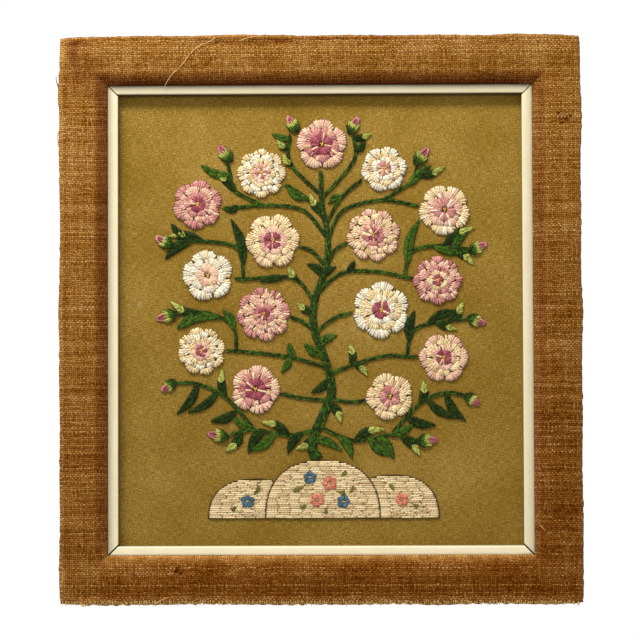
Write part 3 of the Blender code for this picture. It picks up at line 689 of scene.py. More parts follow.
def linen_finish():
    """Fine plain weave in ochre, mottled by slubs that run both ways, with one pale mark, and with
    painted shade towards the bottom and just under the top liner.
    """
    finish = Finish("ochre_linen", roughness=0.9, sheen=0.05, specular=0.12)
    x, _, z = finish.parts(finish.place())
    x = x / MM
    z = z / MM
    upright = finish.blotch(x * 1.5, z * 0.16, detail=3.0, rough=0.6)
    level = finish.blotch(x * 0.16, z * 1.5, 7.0, detail=3.0, rough=0.6)
    grain = finish.blotch(x * 0.85, z * 0.85, 3.0, detail=3.0, rough=0.65)
    cloud = finish.blotch(x * 0.012, z * 0.012, 1.0)
    weave = (x * (TURN / LINEN_PITCH)).sin() * (z * (TURN / LINEN_PITCH)).sin()
    tone = upright * 0.46 + level * 0.60 + grain * 0.66 + (cloud - 0.5) * 0.26 + weave * 0.06
    cloth = finish.ramp(tone, (0.58, (105, 78, 0)), (0.86, (152, 118, 34)), (1.0, (198, 164, 86)))
    aside = (x - STAIN[0]) / STAIN[2]
    above = (z - STAIN[1]) / STAIN[3]
    mark = 1 - (aside * aside + above * above).between(0.0, 1.0)
    stained = finish.mix(mark * 0.45, cloth, srgb(190, 166, 110))
    # Painted shade: darker towards the bottom as the light falls off, and a painted shadow just under
    # the top liner
    lowness = 1 - (z * MM).between(BOTTOM_EDGE * MM, TOP_EDGE * MM)
    liner_edge = LINER["top"][0].z / MM
    shadow_under_liner = z.between(liner_edge - 3.4, liner_edge - 0.2) * 0.6
    with_painted_shade = finish.shaded(stained, (0.94 - lowness * 0.15) * (1 - shadow_under_liner))
    relief = weave * 0.3 + upright + level
    return finish.paint(with_painted_shade, relief=relief, depth=0.35)


def liner_finish():
    """Old cream-white paint on wood: faint grain under it, small dents, and painted shade near its
    edges, with some grubbiness.
    """
    finish = Finish("cream_paint", roughness=0.42, specular=0.4)
    run, inward, _ = finish.uv("grain")
    grain = finish.blotch(run * 0.02, inward * 1.3, detail=3.0)
    dents = finish.blotch(run * 0.16, inward * 0.2, 4.0)
    mottling = finish.blotch(run * 0.05, inward * 0.15, 8.0, detail=3.0)
    paint = finish.mix(mottling, srgb(236, 222, 182), srgb(250, 241, 210))
    shaded_paint = finish.mix(finish.attribute("grime"), paint, srgb(58, 42, 24))
    roughness = 0.36 + mottling * 0.16
    return finish.paint(shaded_paint, roughness, grain * 0.6 + dents, depth=0.12)


def mitre_finish():
    """The liner's sawn ends, painted near-black as the shade inside their open joints."""
    finish = Finish("dark_mitre", roughness=0.9, specular=0.1)
    grain = finish.noise(finish.place(), 900.0)
    mottling = finish.mix(grain, srgb(18, 12, 8), srgb(40, 28, 18))
    return finish.paint(mottling, relief=grain, depth=0.1)


def pine_finish(upright):
    """Plain softwood: growth rings drawn out along the rail, upright or level."""
    finish = Finish("upright_pine" if upright else "level_pine", roughness=0.7)
    x, y, z = finish.parts(finish.place())
    along, across = (z, x) if upright else (x, z)
    drift = finish.blotch(across * 26.0, along * 1.6, y * 26.0)
    rings = ((across * 190.0 + drift * 3.4) * TURN).sin() * 0.5 + 0.5
    pores = finish.blotch(across * 1500.0, along * 60.0, y * 1500.0)
    tone = rings * 0.30 + pores * 0.40 + drift * 0.35
    wood = finish.ramp(tone, (0.2, (178, 136, 88)), (0.9, (212, 176, 124)))
    return finish.paint(wood, relief=tone, depth=0.15)


def board_finish():
    """Brown fibreboard, flecked with its fibres."""
    finish = Finish("brown_fibreboard", roughness=0.85, specular=0.25)
    place = finish.place()
    fleck = finish.noise(place, 420.0, 3.0, 0.7)
    cloud = finish.noise(place, 14.0, 3.0)
    tone = fleck * 0.7 + cloud * 0.4
    board = finish.ramp(tone, (0.3, (112, 84, 56)), (0.8, (156, 124, 88)))
    return finish.paint(board, relief=fleck, depth=0.2)


def wool_finish(name, dark, light):
    """Twisted two-ply wool: slanting ridges round each stitch with painted shade in their grooves,
    a shade of its own, and painted shade on the flanks and ends where stitches press together
    and dive into the cloth."""
    finish = Finish(f"{name}_wool_yarn", roughness=0.88, sheen=0.06, specular=0.12)
    along, around, _ = finish.uv("thread")
    shade = finish.attribute("shade")
    ply = (((along + around * 2.0) * TURN).sin() * 0.5 + 0.5) ** 0.6
    fuzz = finish.blotch(along * 5.0, around * 7.0)
    tone = shade * 0.62 + ply * 0.26 + fuzz * 0.22
    yarn = finish.ramp(tone, (0.10, dark), (0.85, light))
    flank_shade = (around * TURN).sin().between(-0.15, 0.80) * 0.62 + 0.38
    end_shade = finish.attribute("rise").between(0.0, 0.6) * 0.55 + 0.45
    return finish.paint(finish.shaded(yarn, flank_shade * end_shade), relief=ply + fuzz * 0.4, depth=0.35)


def strand_finish(name, colour):
    """A single fibre or thread, mottled along its length."""
    finish = Finish(name, specular=0.06)
    mottle = finish.noise(finish.place(), 700.0)
    return finish.paint(finish.mix(mottle, tuple(0.7 * part for part in colour), colour))


# Meshes


def put_in_scene(name, data):
    """A new object of the scene with this mesh, camera or light."""
    obj = bpy.data.objects.new(name, data)
    bpy.context.scene.collection.objects.link(obj)
    return obj


def add_piece(
    name, points, faces, materials, nodes=(), uv=None, uv_name="weave", values=None, kinds=None
):
    """One mesh from arrays: points, faces of four corners, a UV for each corner, values for
    each point and a material's number for each face. It stands for the CAD nodes given."""
    mesh = bpy.data.meshes.new(name)
    points = np.asarray(points, np.float32).reshape(-1, 3)
    mesh.vertices.add(len(points))
    mesh.vertices.foreach_set("co", points.ravel())
    mesh.loops.add(faces.size)
    mesh.loops.foreach_set("vertex_index", faces.astype(np.int32).ravel())
    mesh.polygons.add(len(faces))
    mesh.polygons.foreach_set("loop_start", np.arange(0, faces.size, 4, dtype=np.int32))
    mesh.update(calc_edges=True)
    if uv is not None:
        layer = mesh.uv_layers.new(name=uv_name)
        layer.data.foreach_set("uv", np.asarray(uv, np.float32).ravel())
    for key, numbers in (values or {}).items():
        attribute = mesh.attributes.new(key, "FLOAT", "POINT")
        attribute.data.foreach_set("value", np.asarray(numbers, np.float32).ravel())
    for material in materials:
        mesh.materials.append(material)
    if kinds is not None:
        mesh.polygons.foreach_set("material_index", kinds.astype(np.int32))
    mesh.shade_smooth()
    obj = put_in_scene(name, mesh)
    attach(obj, "root")
    if nodes:
        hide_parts(*nodes)
    return obj


def thicken(obj, thickness):
    """Gives a sheet its thickness, inwards from the surface that shows."""
    wall = obj.modifiers.new("cloth thickness", "SOLIDIFY")
    wall.thickness = thickness * MM
    wall.offset = -1.0


def grid_faces(rows, columns, closed=False):
    """The faces of a grid of points stored row by row, closed across its columns if asked."""
    spans = columns if closed else columns - 1
    row, column = np.meshgrid(np.arange(rows - 1), np.arange(spans), indexing="ij")
    after = (column + 1) % columns
    start = row * columns
    corners = (start + column, start + after, start + columns + after, start + columns + column)
    return np.stack(corners, axis=-1).reshape(-1, 4)


def tube_faces(stations, sides):
    """The faces of one tube of rings, closed by two flat ends."""
    end = np.array([(0, i + 2, i + 1, i) for i in range(1, sides - 1, 2)])
    other_end = end[:, [0, 3, 2, 1]] + (stations - 1) * sides
    return np.vstack((grid_faces(stations, sides, closed=True), end, other_end))


def repeated(faces, count, points):
    """The same faces for many copies of a shape that has this many points."""
    return (faces + (np.arange(count) * points)[:, None, None]).reshape(-1, 4)


def on_panel(x, z, height):
    """Points in metres from x and z on the panel and a height off the wall."""
    x, z, height = np.broadcast_arrays(x, z, height)
    return np.stack(((CENTRE_X + x) * MM, -height * MM, (CENTRE_Z + z) * MM), axis=-1)


def turned(side, along, out):
    """x and z of places given along a side, clockwise, and out from the middle."""
    x, z = along, out
    for _ in range(SIDES[side][0]):
        x, z = z, -x
    return x, z


def run_along(line):
    """The distance from a line's first point to each of its points."""
    return np.concatenate(([0], np.cumsum(np.linalg.norm(np.diff(line, axis=0), axis=1))))


def smooth_line(points, step):
    """Points a step apart on the Catmull-Rom curve through the given rows."""
    rows = np.asarray(points, float)
    rows = np.vstack((rows[:1], rows, rows[-1:]))
    t = np.linspace(0, 1, 24, endpoint=False)[:, None]
    pieces = []
    for before, start, end, after in zip(rows, rows[1:], rows[2:], rows[3:]):
        square = 2 * before - 5 * start + 4 * end - after
        cube = 3 * start - before - 3 * end + after
        pieces.append(0.5 * (2 * start + (end - before) * t + square * t**2 + cube * t**3))
    fine = np.vstack([*pieces, rows[-1:]])
    run = run_along(fine[:, :2])
    count = max(2, int(round(run[-1] / step)) + 1)
    even = np.linspace(0, run[-1], count)
    return np.stack([np.interp(even, run, column) for column in fine.T], axis=-1)


def rounded_section(points, step):
    """A section resampled a step apart, each corner eased by averaging with its neighbours."""
    rows = np.asarray(points, float)
    run = run_along(rows)
    even = np.linspace(0, run[-1], int(round(run[-1] / step)) + 1)
    fine = np.stack([np.interp(even, run, column) for column in rows.T], axis=-1)
    for _ in range(2):
        fine[1:-1] = (fine[:-2] + 2 * fine[1:-1] + fine[2:]) / 4
    return fine


def bell(distance, reach):
    """1 at no distance, falling on a cosine to 0 at the reach."""
    return 0.5 + 0.5 * np.cos(math.pi * np.clip(np.abs(distance) / reach, 0, 1))


def slope(value, low, high):
    """0 at low and 1 at high, held at its ends and straight between them."""
    return np.clip((value - low) / (high - low), 0, 1)


def ripple(place, seed, *waves):
    """Uneven waves along a line: the sum of sines of these lengths and heights."""
    phases = np.random.default_rng(seed).uniform(0, TURN, len(waves))
    total = np.zeros_like(place)
    for phase, (length, height) in zip(phases, waves):
        total = total + height * np.sin(place / length * TURN + phase)
    return total


# Frame, liner and linen


def cover_side(side, section):
    """One side of the cover: its section carried from mitre to mitre.

    Near the outer edge the section is pushed out and forward by the side's humps and by
    short lumps, with a crease behind them, and the whole face rises and falls a little, as
    cloth glued over wood does. Returns grids of points, of UVs, of wear with a painted
    highlight on the inner lip, and of painted shade with soiling, where less than 0 is painted light.
    """
    turns, half, out = SIDES[side]
    inward, height = section.T
    run = run_along(section)
    on_face = (height > 24) & (inward > 10)
    face = np.interp(WEAVE_TRUE, inward[on_face], run[on_face])
    share = np.linspace(-1, 1, int(2 * half / COVER_STEP) + 1)[:, None]
    along = share * (half - inward)
    place = share * half
    from_end = half - np.abs(place)
    fade = slope(from_end, 0, 30)
    near_edge = 1 - slope(inward, 0, 9)
    raised = slope(height, 15, 25)
    front = slope(height, 18, 24)
    push = OUT_SHIFT[side] + 0.35 * np.sin(place / 17.0 + 1.7 * turns)
    push = push + 0.25 * np.sin(place / 41.0 + 0.9 * turns)
    lumps = ripple(place, 10 + turns, (10.5, LUMPS[side]), (14.5, LUMPS[side]), (23.0, 0.25))
    lumps = lumps * (0.35 + 0.65 * np.sin(place / 33.0 + 2.0 * turns) ** 2)
    lift = np.zeros_like(place)
    for rail, middle, length, most_out, most_forward in HUMPS:
        if rail == side:
            hump = bell(place - middle, length / 2)
            push = push + most_out * hump
            lift = lift + most_forward * hump
    ridge = lift + 0.35 + 0.5 * np.maximum(lumps, 0)
    crease = bell(inward - 7.0, 3.5) * raised * (ridge * 0.45)
    rounding = 1.1 * bell(from_end, 7.0)
    out_by = ((np.maximum(push, -0.5) + lumps * 0.8) * fade - rounding) * near_edge
    rise = ridge * fade * near_edge * raised - crease * fade
    rise = rise + ripple(along + 3 * inward, 20 + turns, (61.0, 0.14), (37.0, 0.12)) * raised
    x, z = turned(side, along, out - inward + out_by)
    tuck = corner_tuck(x, z) * raised
    points = on_panel(x, z, height + rise - tuck)
    spread = np.broadcast_to(out - WEAVE_TRUE - (run - face), along.shape)
    uv = np.stack(turned(side, along, spread), axis=-1) / THREAD_PITCH
    # Painted highlight on the inner lip, strongest at the bottom, where the lip faces the light
    lip = bell(inward - RAIL_WIDTH + 1.5, 9.0)
    worn = blended(WORN_EDGE, side, place) * near_edge * front + blended(LIP_HIGHLIGHT, side, place) * lip
    worn = worn * (0.75 + ripple(place, 30 + turns, (31.0, 0.25), (11.0, 0.2)))
    worn = worn + 0.25 * bell(inward - 2.0, 4.0) * front * lift
    # Painted shade on the inner slope, more on the upper sides, near the rabbet, in the crease and in
    # the corner folds; painted light where less than 0
    up = np.clip(0.35 + (z + HEIGHT / 2) / HEIGHT, 0.35, 1)
    into_slope = slope(inward, RAIL_WIDTH - 16.0, RAIL_WIDTH - 11.0)
    near_rabbet = slope(inward, RAIL_WIDTH - 9.0, RAIL_WIDTH - 1.0) ** 1.5
    soil = blended(SLOPE_SHADE, side, place) * into_slope * up
    soil = soil + blended(RABBET_SHADE, side, place) * near_rabbet + crease * 0.4 + tuck * 0.15
    for patch_x, patch_z, reach_x, reach_z, paler, darker in PATCHES:
        patch = bell(x - patch_x, reach_x) * bell(z - patch_z, reach_z) * front
        worn = worn + paler * patch
        soil = soil + darker * patch
    return points, uv, np.clip(worn, 0, 1), np.clip(soil, -0.8, 0.93)


def blended(table, side, place):
    """A side's value along it, turning near each mitre into its mean with the neighbour's."""
    turns, half, _ = SIDES[side]
    before, after = table[SIDE_NAMES[turns - 1]], table[SIDE_NAMES[(turns + 1) % 4]]
    share = 0.5 * bell(half - np.abs(place), 34.0)
    return table[side] + (np.where(place < 0, before, after) - table[side]) * share


def corner_tuck(x, z):
    """Depth of the short fold that runs outwards from each upper inner corner."""
    aside = np.abs(x) - (WIDTH / 2 - RAIL_WIDTH)
    above = z - (HEIGHT / 2 - RAIL_WIDTH)
    return 1.6 * bell(aside - 4.0, 9.0) * bell(above - 5.0, 3.6)


def hessian_cover(material):
    """The whole hessian cover: four sides joined at their mitres into one closed band."""
    section = rounded_section(COVER_SECTION, SECTION_STEP)
    columns = len(section)
    sides = [cover_side(side, section) for side in SIDES]
    points = np.concatenate([rows[0][:-1].reshape(-1, 3) for rows in sides])
    worn, soil = (np.concatenate([rows[i][:-1].ravel() for rows in sides]) for i in (2, 3))
    faces, uvs = [], []
    first = 0
    for grid, uv, _, _ in sides:
        local = grid_faces(len(grid), columns)
        faces.append((local + first) % len(points))
        uvs.append(uv.reshape(-1, 2)[local.ravel()])
        first += (len(grid) - 1) * columns
    obj = add_piece(
        "hessian_cloth",
        points,
        np.concatenate(faces),
        [material],
        ["hessian_cover"],
        np.concatenate(uvs),
        values={"worn": worn, "soil": soil},
    )
    thicken(obj, COVER_THICKNESS)


def liner_section(width):
    """Section of a liner strip: a rubbed outer corner, a flat face and a round lip."""
    front = LINER_FRONT
    radius = 1.5
    outer = [(-0.2, front - 3.0), (-0.75, front - 1.6), (-1.15, front - 0.5), (-0.9, front - 0.2)]
    face = [(1.5, front - 0.05), (width * 0.55, front - 0.05)]
    turn = np.linspace(0, math.pi / 2, 7)
    lip = zip(width - radius * (1 - np.sin(turn)), front - 0.15 - radius * (1 - np.cos(turn)))
    return np.array([(0.0, LINER_BACK), *outer, *face, *lip, (width, front - 2.0), (width, LINER_BACK)])


def liner_strip(side, materials):
    """A painted strip: its section carried between two mitres, then capped."""
    turns, half, out = SIDES[side]
    end = LINER_TOP_END if side in ("top", "bottom") else LINER_SIDE_END
    section = liner_section(end - LINER_START)
    # Painted shade, partly grubby paint: darkest at the outer edge under the hessian and on the inner
    # wall, with an even amount over the face
    across, plain, wall = LINER_SHADE_AND_GRIME[side]
    grime = np.interp(section[:, 0], (-1.2, 1.5, 6.5), (across, across * 0.62, 0.0)) + plain
    grime[-2:] = wall
    inward = LINER_START + section[:, 0]
    height = section[:, 1]
    lower = {"top": (0, 0), "right": (0, 1), "bottom": (1, 1), "left": (1, 0)}[side]
    first_gap, last_gap = (MITRE_GAPS[which] for which in lower)
    stations = 40
    start = -(half - inward - first_gap)
    finish = half - inward - last_gap
    along = start + (finish - start) * np.linspace(0, 1, stations)[:, None]
    uneven = ripple(along, 40 + turns, (120.0, 0.10), (53.0, 0.06))
    x, z = turned(side, along, out - inward)
    points = on_panel(x, z, height + uneven * (height > LINER_BACK + 1))
    columns = len(section)
    sheath = grid_faces(stations, columns, closed=True)
    run = run_along(section)
    uv = np.stack((along, np.broadcast_to(run - run[1], along.shape)), axis=-1).reshape(-1, 2)
    fan = np.array([(0, i, i + 1, i + 2) for i in range(1, columns - 2, 2)])
    ends = np.vstack((fan, fan[:, ::-1] + (stations - 1) * columns))
    faces = np.vstack((sheath, ends))
    obj = add_piece(
        f"liner_lip_{side}",
        points,
        faces,
        materials,
        [f"liner_{side}"],
        uv[faces.ravel()],
        uv_name="grain",
        values={"grime": np.tile(grime, stations)},
        kinds=np.repeat((0, 1), (len(sheath), len(ends))),
    )
    obj.data.set_sharp_from_angle(angle=math.radians(50))


def linen_cloth(material):
    """The linen: a front, four edges and four turned-back strips with mitred corners.

    Each ring of the fold is a rectangle of the same number of points, so the cloth is one
    grid of rings from the middle of the front outwards and round to the back.
    """
    half_x = (LINEN_HIGH.x - LINEN_LOW.x) / MM / 2
    half_z = (LINEN_HIGH.z - LINEN_LOW.z) / MM / 2
    face = LINEN_FACE
    back = -LINEN_HIGH.y / MM
    count = 60
    side = np.linspace(-1, 1, count, endpoint=False)
    square_x = np.concatenate((side, np.ones(count), -side, -np.ones(count)))
    square_z = np.concatenate((-np.ones(count), side, np.ones(count), -side))
    shares = np.linspace(0.02, 1.0, 40)
    front = [(share * (half_x - 0.6), share * (half_z - 0.6), face) for share in shares]
    fold = [(half_x - 0.1, half_z - 0.1, face - 0.5), (half_x, half_z, face - 1.0)]
    fold += [(half_x, half_z, back + 0.8), (half_x - 0.4, half_z - 0.4, back)]
    strip = [(half_x - inset, half_z - inset, back) for inset in (6.0, 14.0, LINEN_TURNED_BACK)]
    rings = np.array(front + fold + strip)
    x = rings[:, 0:1] * square_x
    z = rings[:, 1:2] * square_z
    uneven = np.sin(x / 31.0 + 1.0) * np.sin(z / 27.0) * 0.12
    near_front = (rings[:, 2:3] > face - 0.1) * slope(half_x - np.abs(x), 0, 20)
    points = on_panel(x, z, rings[:, 2:3] + uneven * near_front - 0.12 * near_front).reshape(-1, 3)
    columns = 4 * count
    middle = len(points)
    points = np.vstack((points, on_panel(0.0, 0.0, face)))
    pairs = np.arange(0, columns, 2)
    hub = np.stack((np.full_like(pairs, middle), (pairs + 2) % columns, pairs + 1, pairs), axis=-1)
    faces = np.vstack((grid_faces(len(rings), columns, closed=True), hub))
    obj = add_piece("stretched_linen", points, faces[:, ::-1], [material], ["linen_ground"])
    thicken(obj, LINEN_THICKNESS)


# Threads and stitches


def beside(way):
    """A way turned a quarter turn to its left, on the panel."""
    return np.stack((-way[..., 1], way[..., 0]), axis=-1)


def heading(direction):
    """The way along and the way beside, for a direction in degrees."""
    angle = math.radians(direction)
    way = np.array((math.cos(angle), math.sin(angle)))
    return way, beside(way)


def polar(centre, radius, angle):
    """Points at a radius and angle from a centre."""
    return np.stack((centre[0] + radius * np.cos(angle), centre[1] + radius * np.sin(angle)), axis=-1)


def yarn_points(start, end, shares, half, height, sides, bow=0.0, flat=1.0):
    """Rings of points round many yarns, at shares of the way from start to end.

    A ring reaches half to each side of its yarn and half times flat above and below it, and
    its middle lies aside of the straight way by the bow.
    """
    reach = end - start
    aside = beside(reach / np.maximum(np.linalg.norm(reach, axis=1), 1e-6)[:, None])
    middle = start[:, None] + reach[:, None] * shares[:, None]
    angle = np.arange(sides) / sides * TURN
    across = np.asarray(bow)[..., None] + half[:, :, None] * np.cos(angle)
    x = middle[:, :, 0, None] + aside[:, 0, None, None] * across
    z = middle[:, :, 1, None] + aside[:, 1, None, None] * across
    return on_panel(x, z, height[:, :, None] + half[:, :, None] * flat * np.sin(angle))


def loose_strands(name, rows, material):
    """Thin tapering threads, one for each row of a table such as LOOSE_THREADS: each bows
    sideways by a sine between its two ends."""
    rows = np.asarray(rows, float)
    share = np.linspace(0, 1, 7)
    height = rows[:, 6:7] + (rows[:, 7:8] - rows[:, 6:7]) * share
    thick = rows[:, 5:6] * (1 - 0.55 * share)
    bow = rows[:, 4:5] * np.sin(math.pi * share)
    points = yarn_points(rows[:, 0:2], rows[:, 2:4], share, thick, height, 4, bow)
    faces = repeated(tube_faces(len(share), 4), len(rows), len(share) * 4)
    add_piece(name, points, faces, [material])


def frays(straw):
    """Short cut ends of thread along the outer edges, in tufts, thickest along the bottom."""
    dice = np.random.default_rng(23)
    rows = []
    for side, count, start_in, reach, radius in FRAYS:
        _, half, out = SIDES[side]
        along = np.linspace(-half + 5, half - 5, count) + dice.uniform(-1.2, 1.2, count)
        tufts = 0.62 + ripple(along, 50 + count, (9.0, 0.3), (5.3, 0.25), (31.0, 0.2))
        tufts = np.clip(tufts, 0.12, 1)
        grow = dice.uniform(0.2, 1.0, count) * reach * tufts
        lean = dice.uniform(-0.6, 0.6, count)
        inner = dice.uniform(0.25, 1.0, count) * start_in
        start = turned(side, along, out - inner)
        end = turned(side, along + lean, out + grow)
        end_height = dice.uniform(*FRAY_END_HEIGHTS, count)
        thick = radius * dice.uniform(0.7, 1.25, count)
        straight = np.zeros(count)
        root_height = np.full(count, FRAY_ROOT_HEIGHT)
        rows.append(np.column_stack((*start, *end, straight, thick, root_height, end_height)))
    rows = np.concatenate(rows)
    rows[:, 4] = dice.uniform(-0.25, 0.25, len(rows))
    loose_strands("frayed_ends", rows, straw)


class Needlework:
    """The stitches of one piece: each is a flattened yarn that rises out of the linen,
    lies over its padding and dives back, with its own shade of the dye."""

    def __init__(self, name):
        self.name = f"worked_{name}"
        self.runs = []
        self.wools = []

    def lay(self, wool, start, end, width, lift, base):
        """Adds stitches from start to end, arrays of x and z. base is the padding's height
        under them, one number or one for each stitch and station."""
        start = np.atleast_2d(start)
        end = np.atleast_2d(end)
        count = len(start)
        if wool not in self.wools:
            self.wools.append(wool)
        base = np.broadcast_to(base, (count, len(STATIONS)))
        width = width * DICE.uniform(0.9, 1.1, count)
        lift = lift * DICE.uniform(0.85, 1.15, count)
        kind = np.full(count, self.wools.index(wool))
        self.runs.append((start, end, width, lift, base, kind))

    def lay_mixed(self, wools, pick, start, end, width, lift, base):
        """Adds stitches in several wools, picked by a number for each stitch."""
        for index, wool in enumerate(wools):
            mine = pick == index
            if mine.any():
                self.lay(wool, start[mine], end[mine], width, lift, base[mine])

    def finish(self, slot, nodes, materials):
        """Joins all stitches into one mesh that stands for these CAD nodes."""
        start, end, width, lift, base, kind = (
            np.concatenate([run[index] for run in self.runs]) for index in range(6)
        )
        count = len(start)
        half = width[:, None] * TAPER / 2
        height = LINEN_FACE + (base + lift[:, None] * ARCH)
        points = yarn_points(start, end, STATIONS, half, height, AROUND, flat=FLATNESS)
        one = tube_faces(len(STATIONS), AROUND)
        ring = len(STATIONS) * AROUND
        spin = (one % AROUND).astype(float)
        spin[:, [1, 2]] += (spin[:, [0, 3]] > spin[:, [1, 2]]) * AROUND
        begin = DICE.uniform(0, 1, count)[:, None, None]
        twists = (np.linalg.norm(end - start, axis=1) / TWIST_LENGTH)[:, None, None]
        along = STATIONS[one // AROUND] * twists + begin
        shade = np.repeat(DICE.uniform(0, 1, count), ring)
        add_piece(
            self.name,
            points,
            repeated(one, count, ring),
            [materials[wool] for wool in self.wools],
            nodes,
            np.stack((along, np.broadcast_to(spin / AROUND, along.shape)), axis=-1),
            uv_name="thread",
            values={"shade": shade, "rise": np.tile(np.repeat(RISE, AROUND), count)},
            kinds=np.repeat(kind, len(one)),
        )


def scallops(work, wools, centre, inner, outer, petals, turn, level, notch, width):
    """A ring of satin petals: fat spokes from the inner radius to a scalloped edge.

    A spoke's root leans to the middle of its petal, the padding is highest near the edge,
    and a few spokes are in the second wool.
    """
    count = int(TURN * outer * 0.95 / (width * 0.98))
    angle = (np.arange(count) + DICE.uniform(-0.2, 0.2, count)) / count * TURN
    local = ((angle - turn) * petals / TURN + 0.5) % 1.0 - 0.5
    crown = np.cos(math.pi * local) ** 0.55
    edge = outer * (1 - notch + notch * crown) + DICE.uniform(-0.6, 0.6, count)
    root = angle - local * TURN / petals * 0.30
    start = polar(centre, inner + DICE.uniform(-0.9, 0.9, count), root)
    end = polar(centre, edge, angle)
    base = level + (0.25 + 0.85 * crown[:, None]) * np.array((0.0, 0.5, 0.9, 1.0, 0.7, 0.2))
    is_fleck = DICE.uniform(0, 1, count) < 0.13
    work.lay_mixed(wools, is_fleck, start, end, width, 0.9, base)


def knots(work, wool, centre, radius, count, base, size=2.4):
    """French knots scattered by the golden angle: two short fat turns of yarn across each other."""
    index = np.arange(count)
    places = polar(centre, radius * np.sqrt((index + 0.5) / count), index * 2.4)
    for turn in (0.4, 1.97):
        way = np.array((math.cos(turn), math.sin(turn))) * size * 0.42
        work.lay(wool, places - way, places + way, size * 0.8, 0.9, base)


def blossom(work, centre, radius, row):
    """A flower head: rings of satin scallops, each laid over the roots of the one outside it."""
    petals, turn, wools, fleck = row
    rings = RINGS[petals]
    for number, ((outer, inner, ring_petals, half_petals), wool) in enumerate(zip(rings, wools)):
        lean = math.radians(turn) + half_petals * math.pi / ring_petals
        notch = 0.17 if number == 0 else 0.22
        width = 2.9 - 0.15 * number
        level = 0.1 + RING_RISE * number
        reach = (radius * inner, radius * outer)
        scallops(work, (wool, fleck), centre, *reach, ring_petals, lean, level, notch, width)
    knots(work, "yellow", centre, radius * 0.07, 4, 0.9 + RING_RISE * len(rings))


def small_blossom(work, centre, radius, wool, turn):
    """Five short satin petals round a yellow knot, worked over the mound's rows."""
    for petal in range(5):
        angle = turn + petal * TURN / 5
        fan = angle + np.linspace(-0.42, 0.42, 4)
        edge = radius * (1 - 0.14 * np.linspace(-1, 1, 4) ** 2)
        start = polar(centre, radius * 0.22, angle + (fan - angle) * 0.7)
        work.lay(wool, start, polar(centre, edge, fan), 1.9, 0.8, 2.5)
    knots(work, "yellow", centre, 0.9, 2, 3.1, 1.8)


def leaf(work, foot, direction, length, width, bend, wools):
    """A fishbone leaf: slanting stitches from both edges down to the midrib, tip first.

    The midrib bows sideways by a sine, and the leaf is widest a little below its middle.
    """
    body, tip, tip_from = wools
    way, aside = heading(direction)

    def rib(share):
        share = np.clip(share, 0, 1)[:, None]
        return np.asarray(foot) + way * share * length + aside * bend * np.sin(math.pi * share)

    count = max(5, int(length / 1.85))
    share = np.linspace(0.07, 0.985, count)
    half = width / 2 * np.sin(math.pi * share**0.85) ** 0.8
    for side in (-1, 1):
        place = share + DICE.uniform(-0.01, 0.01, count)
        edge = rib(place) + aside * (half * side + DICE.uniform(-0.3, 0.3, count))[:, None]
        root = rib(place - 4.6 / length) - aside * 0.1 * side
        base = 0.25 + 0.9 * STATIONS * (half / (width / 2))[:, None]
        base = base * DICE.uniform(0.7, 1.2, count)[:, None]
        work.lay_mixed((body, tip), share >= tip_from, edge, root, 2.0, 0.9, base)
    work.lay(tip, rib(np.array((0.88,))), rib(np.array((1.03,))), 1.7, 0.8, 0.4)
    work.lay(body, rib(np.array((-0.04,))), rib(np.array((0.16,))), 1.8, 0.8, 0.4)


def leaf_sprig(work, x, z, direction, length):
    """An olive leaf of three bowed stitches on a thin stalk, over the mound."""
    way, aside = heading(direction)
    foot = np.array((x, z))
    for side in (-1, 0, 1):
        start = foot + way * length * 0.22 + aside * side * 0.4
        middle = foot + way * length * 0.55 + aside * side * 1.6
        work.lay("olive", start, middle + way * length * 0.35, 1.8, 0.7, 2.2)
    work.lay("olive", foot, foot + way * length * 0.4, 1.2, 0.6, 2.1)


def stem(work, rows, half_width, wools, yarn=1.8):
    """Stem stitch in rows side by side: each stitch leans across its row and overlaps the next.

    Each stitch is in one of the wools by chance, so that the greens mingle.
    """
    line = smooth_line(rows, 1.5)
    points = line[:, :2]
    widths = line[:, 2] if line.shape[1] > 2 else np.full(len(line), half_width)
    way = np.gradient(points, axis=0)
    aside = beside(way / np.linalg.norm(way, axis=1)[:, None])
    lanes = max(1, int(round(2 * widths.max() / 1.9)))
    for lane in range(lanes):
        shift = 0.0 if lanes == 1 else (lane / (lanes - 1) - 0.5) * 2
        offset = shift * np.maximum(widths - yarn / 2, 0.1)
        lined = points + aside * offset[:, None]
        first = np.arange(lane % 2, len(lined) - 4, 2)
        lean = DICE.uniform(0.45, 1.0, (len(first), 1))
        start = lined[first] - aside[first] * lean
        end = lined[first + 4] + aside[first + 4] * lean
        base = 0.25 + 1.1 * (1 - shift**2) * widths[first] / 6 + DICE.uniform(-0.15, 0.25, len(first))
        pick = DICE.integers(0, len(wools), len(first))
        work.lay_mixed(wools, pick, start, end, yarn, 0.85, base[:, None])


def bud(work, centre, direction, length, width):
    """A bud: a satin tip over a two-tone calyx, all its stitches running lengthways."""
    way, aside = heading(direction)
    foot = np.asarray(centre) - way * length / 2

    def at(share, across):
        half = width / 2 * np.sin(math.pi * np.clip(share, 0.03, 0.97) ** 0.9) ** 0.8
        return foot + way * (share * length)[:, None] + aside * (across * half)[:, None]

    for wool, low, high, spread, count, base in BUD_BANDS:
        across = np.linspace(-spread, spread, count)
        tops = high + DICE.uniform(-0.05, 0.05, count)
        work.lay(wool, at(np.full(count, low), across * 0.8), at(tops, across), 2.1, 0.9, base)


def arch_reach(half_width, height, level):
    """Half the width of a mound's arch at a level above its foot."""
    return half_width * max(0.0, 1 - (level / height) ** ARCH_POWER) ** (1 / ARCH_POWER)


def arch_radius(half_width, height, angle):
    """Reach of a mound's arch at an angle above the middle of its foot."""
    flat = np.abs(np.cos(angle)) / half_width
    steep = np.abs(np.sin(angle)) / height
    return 1.0 / (flat**ARCH_POWER + steep**ARCH_POWER) ** (1 / ARCH_POWER)


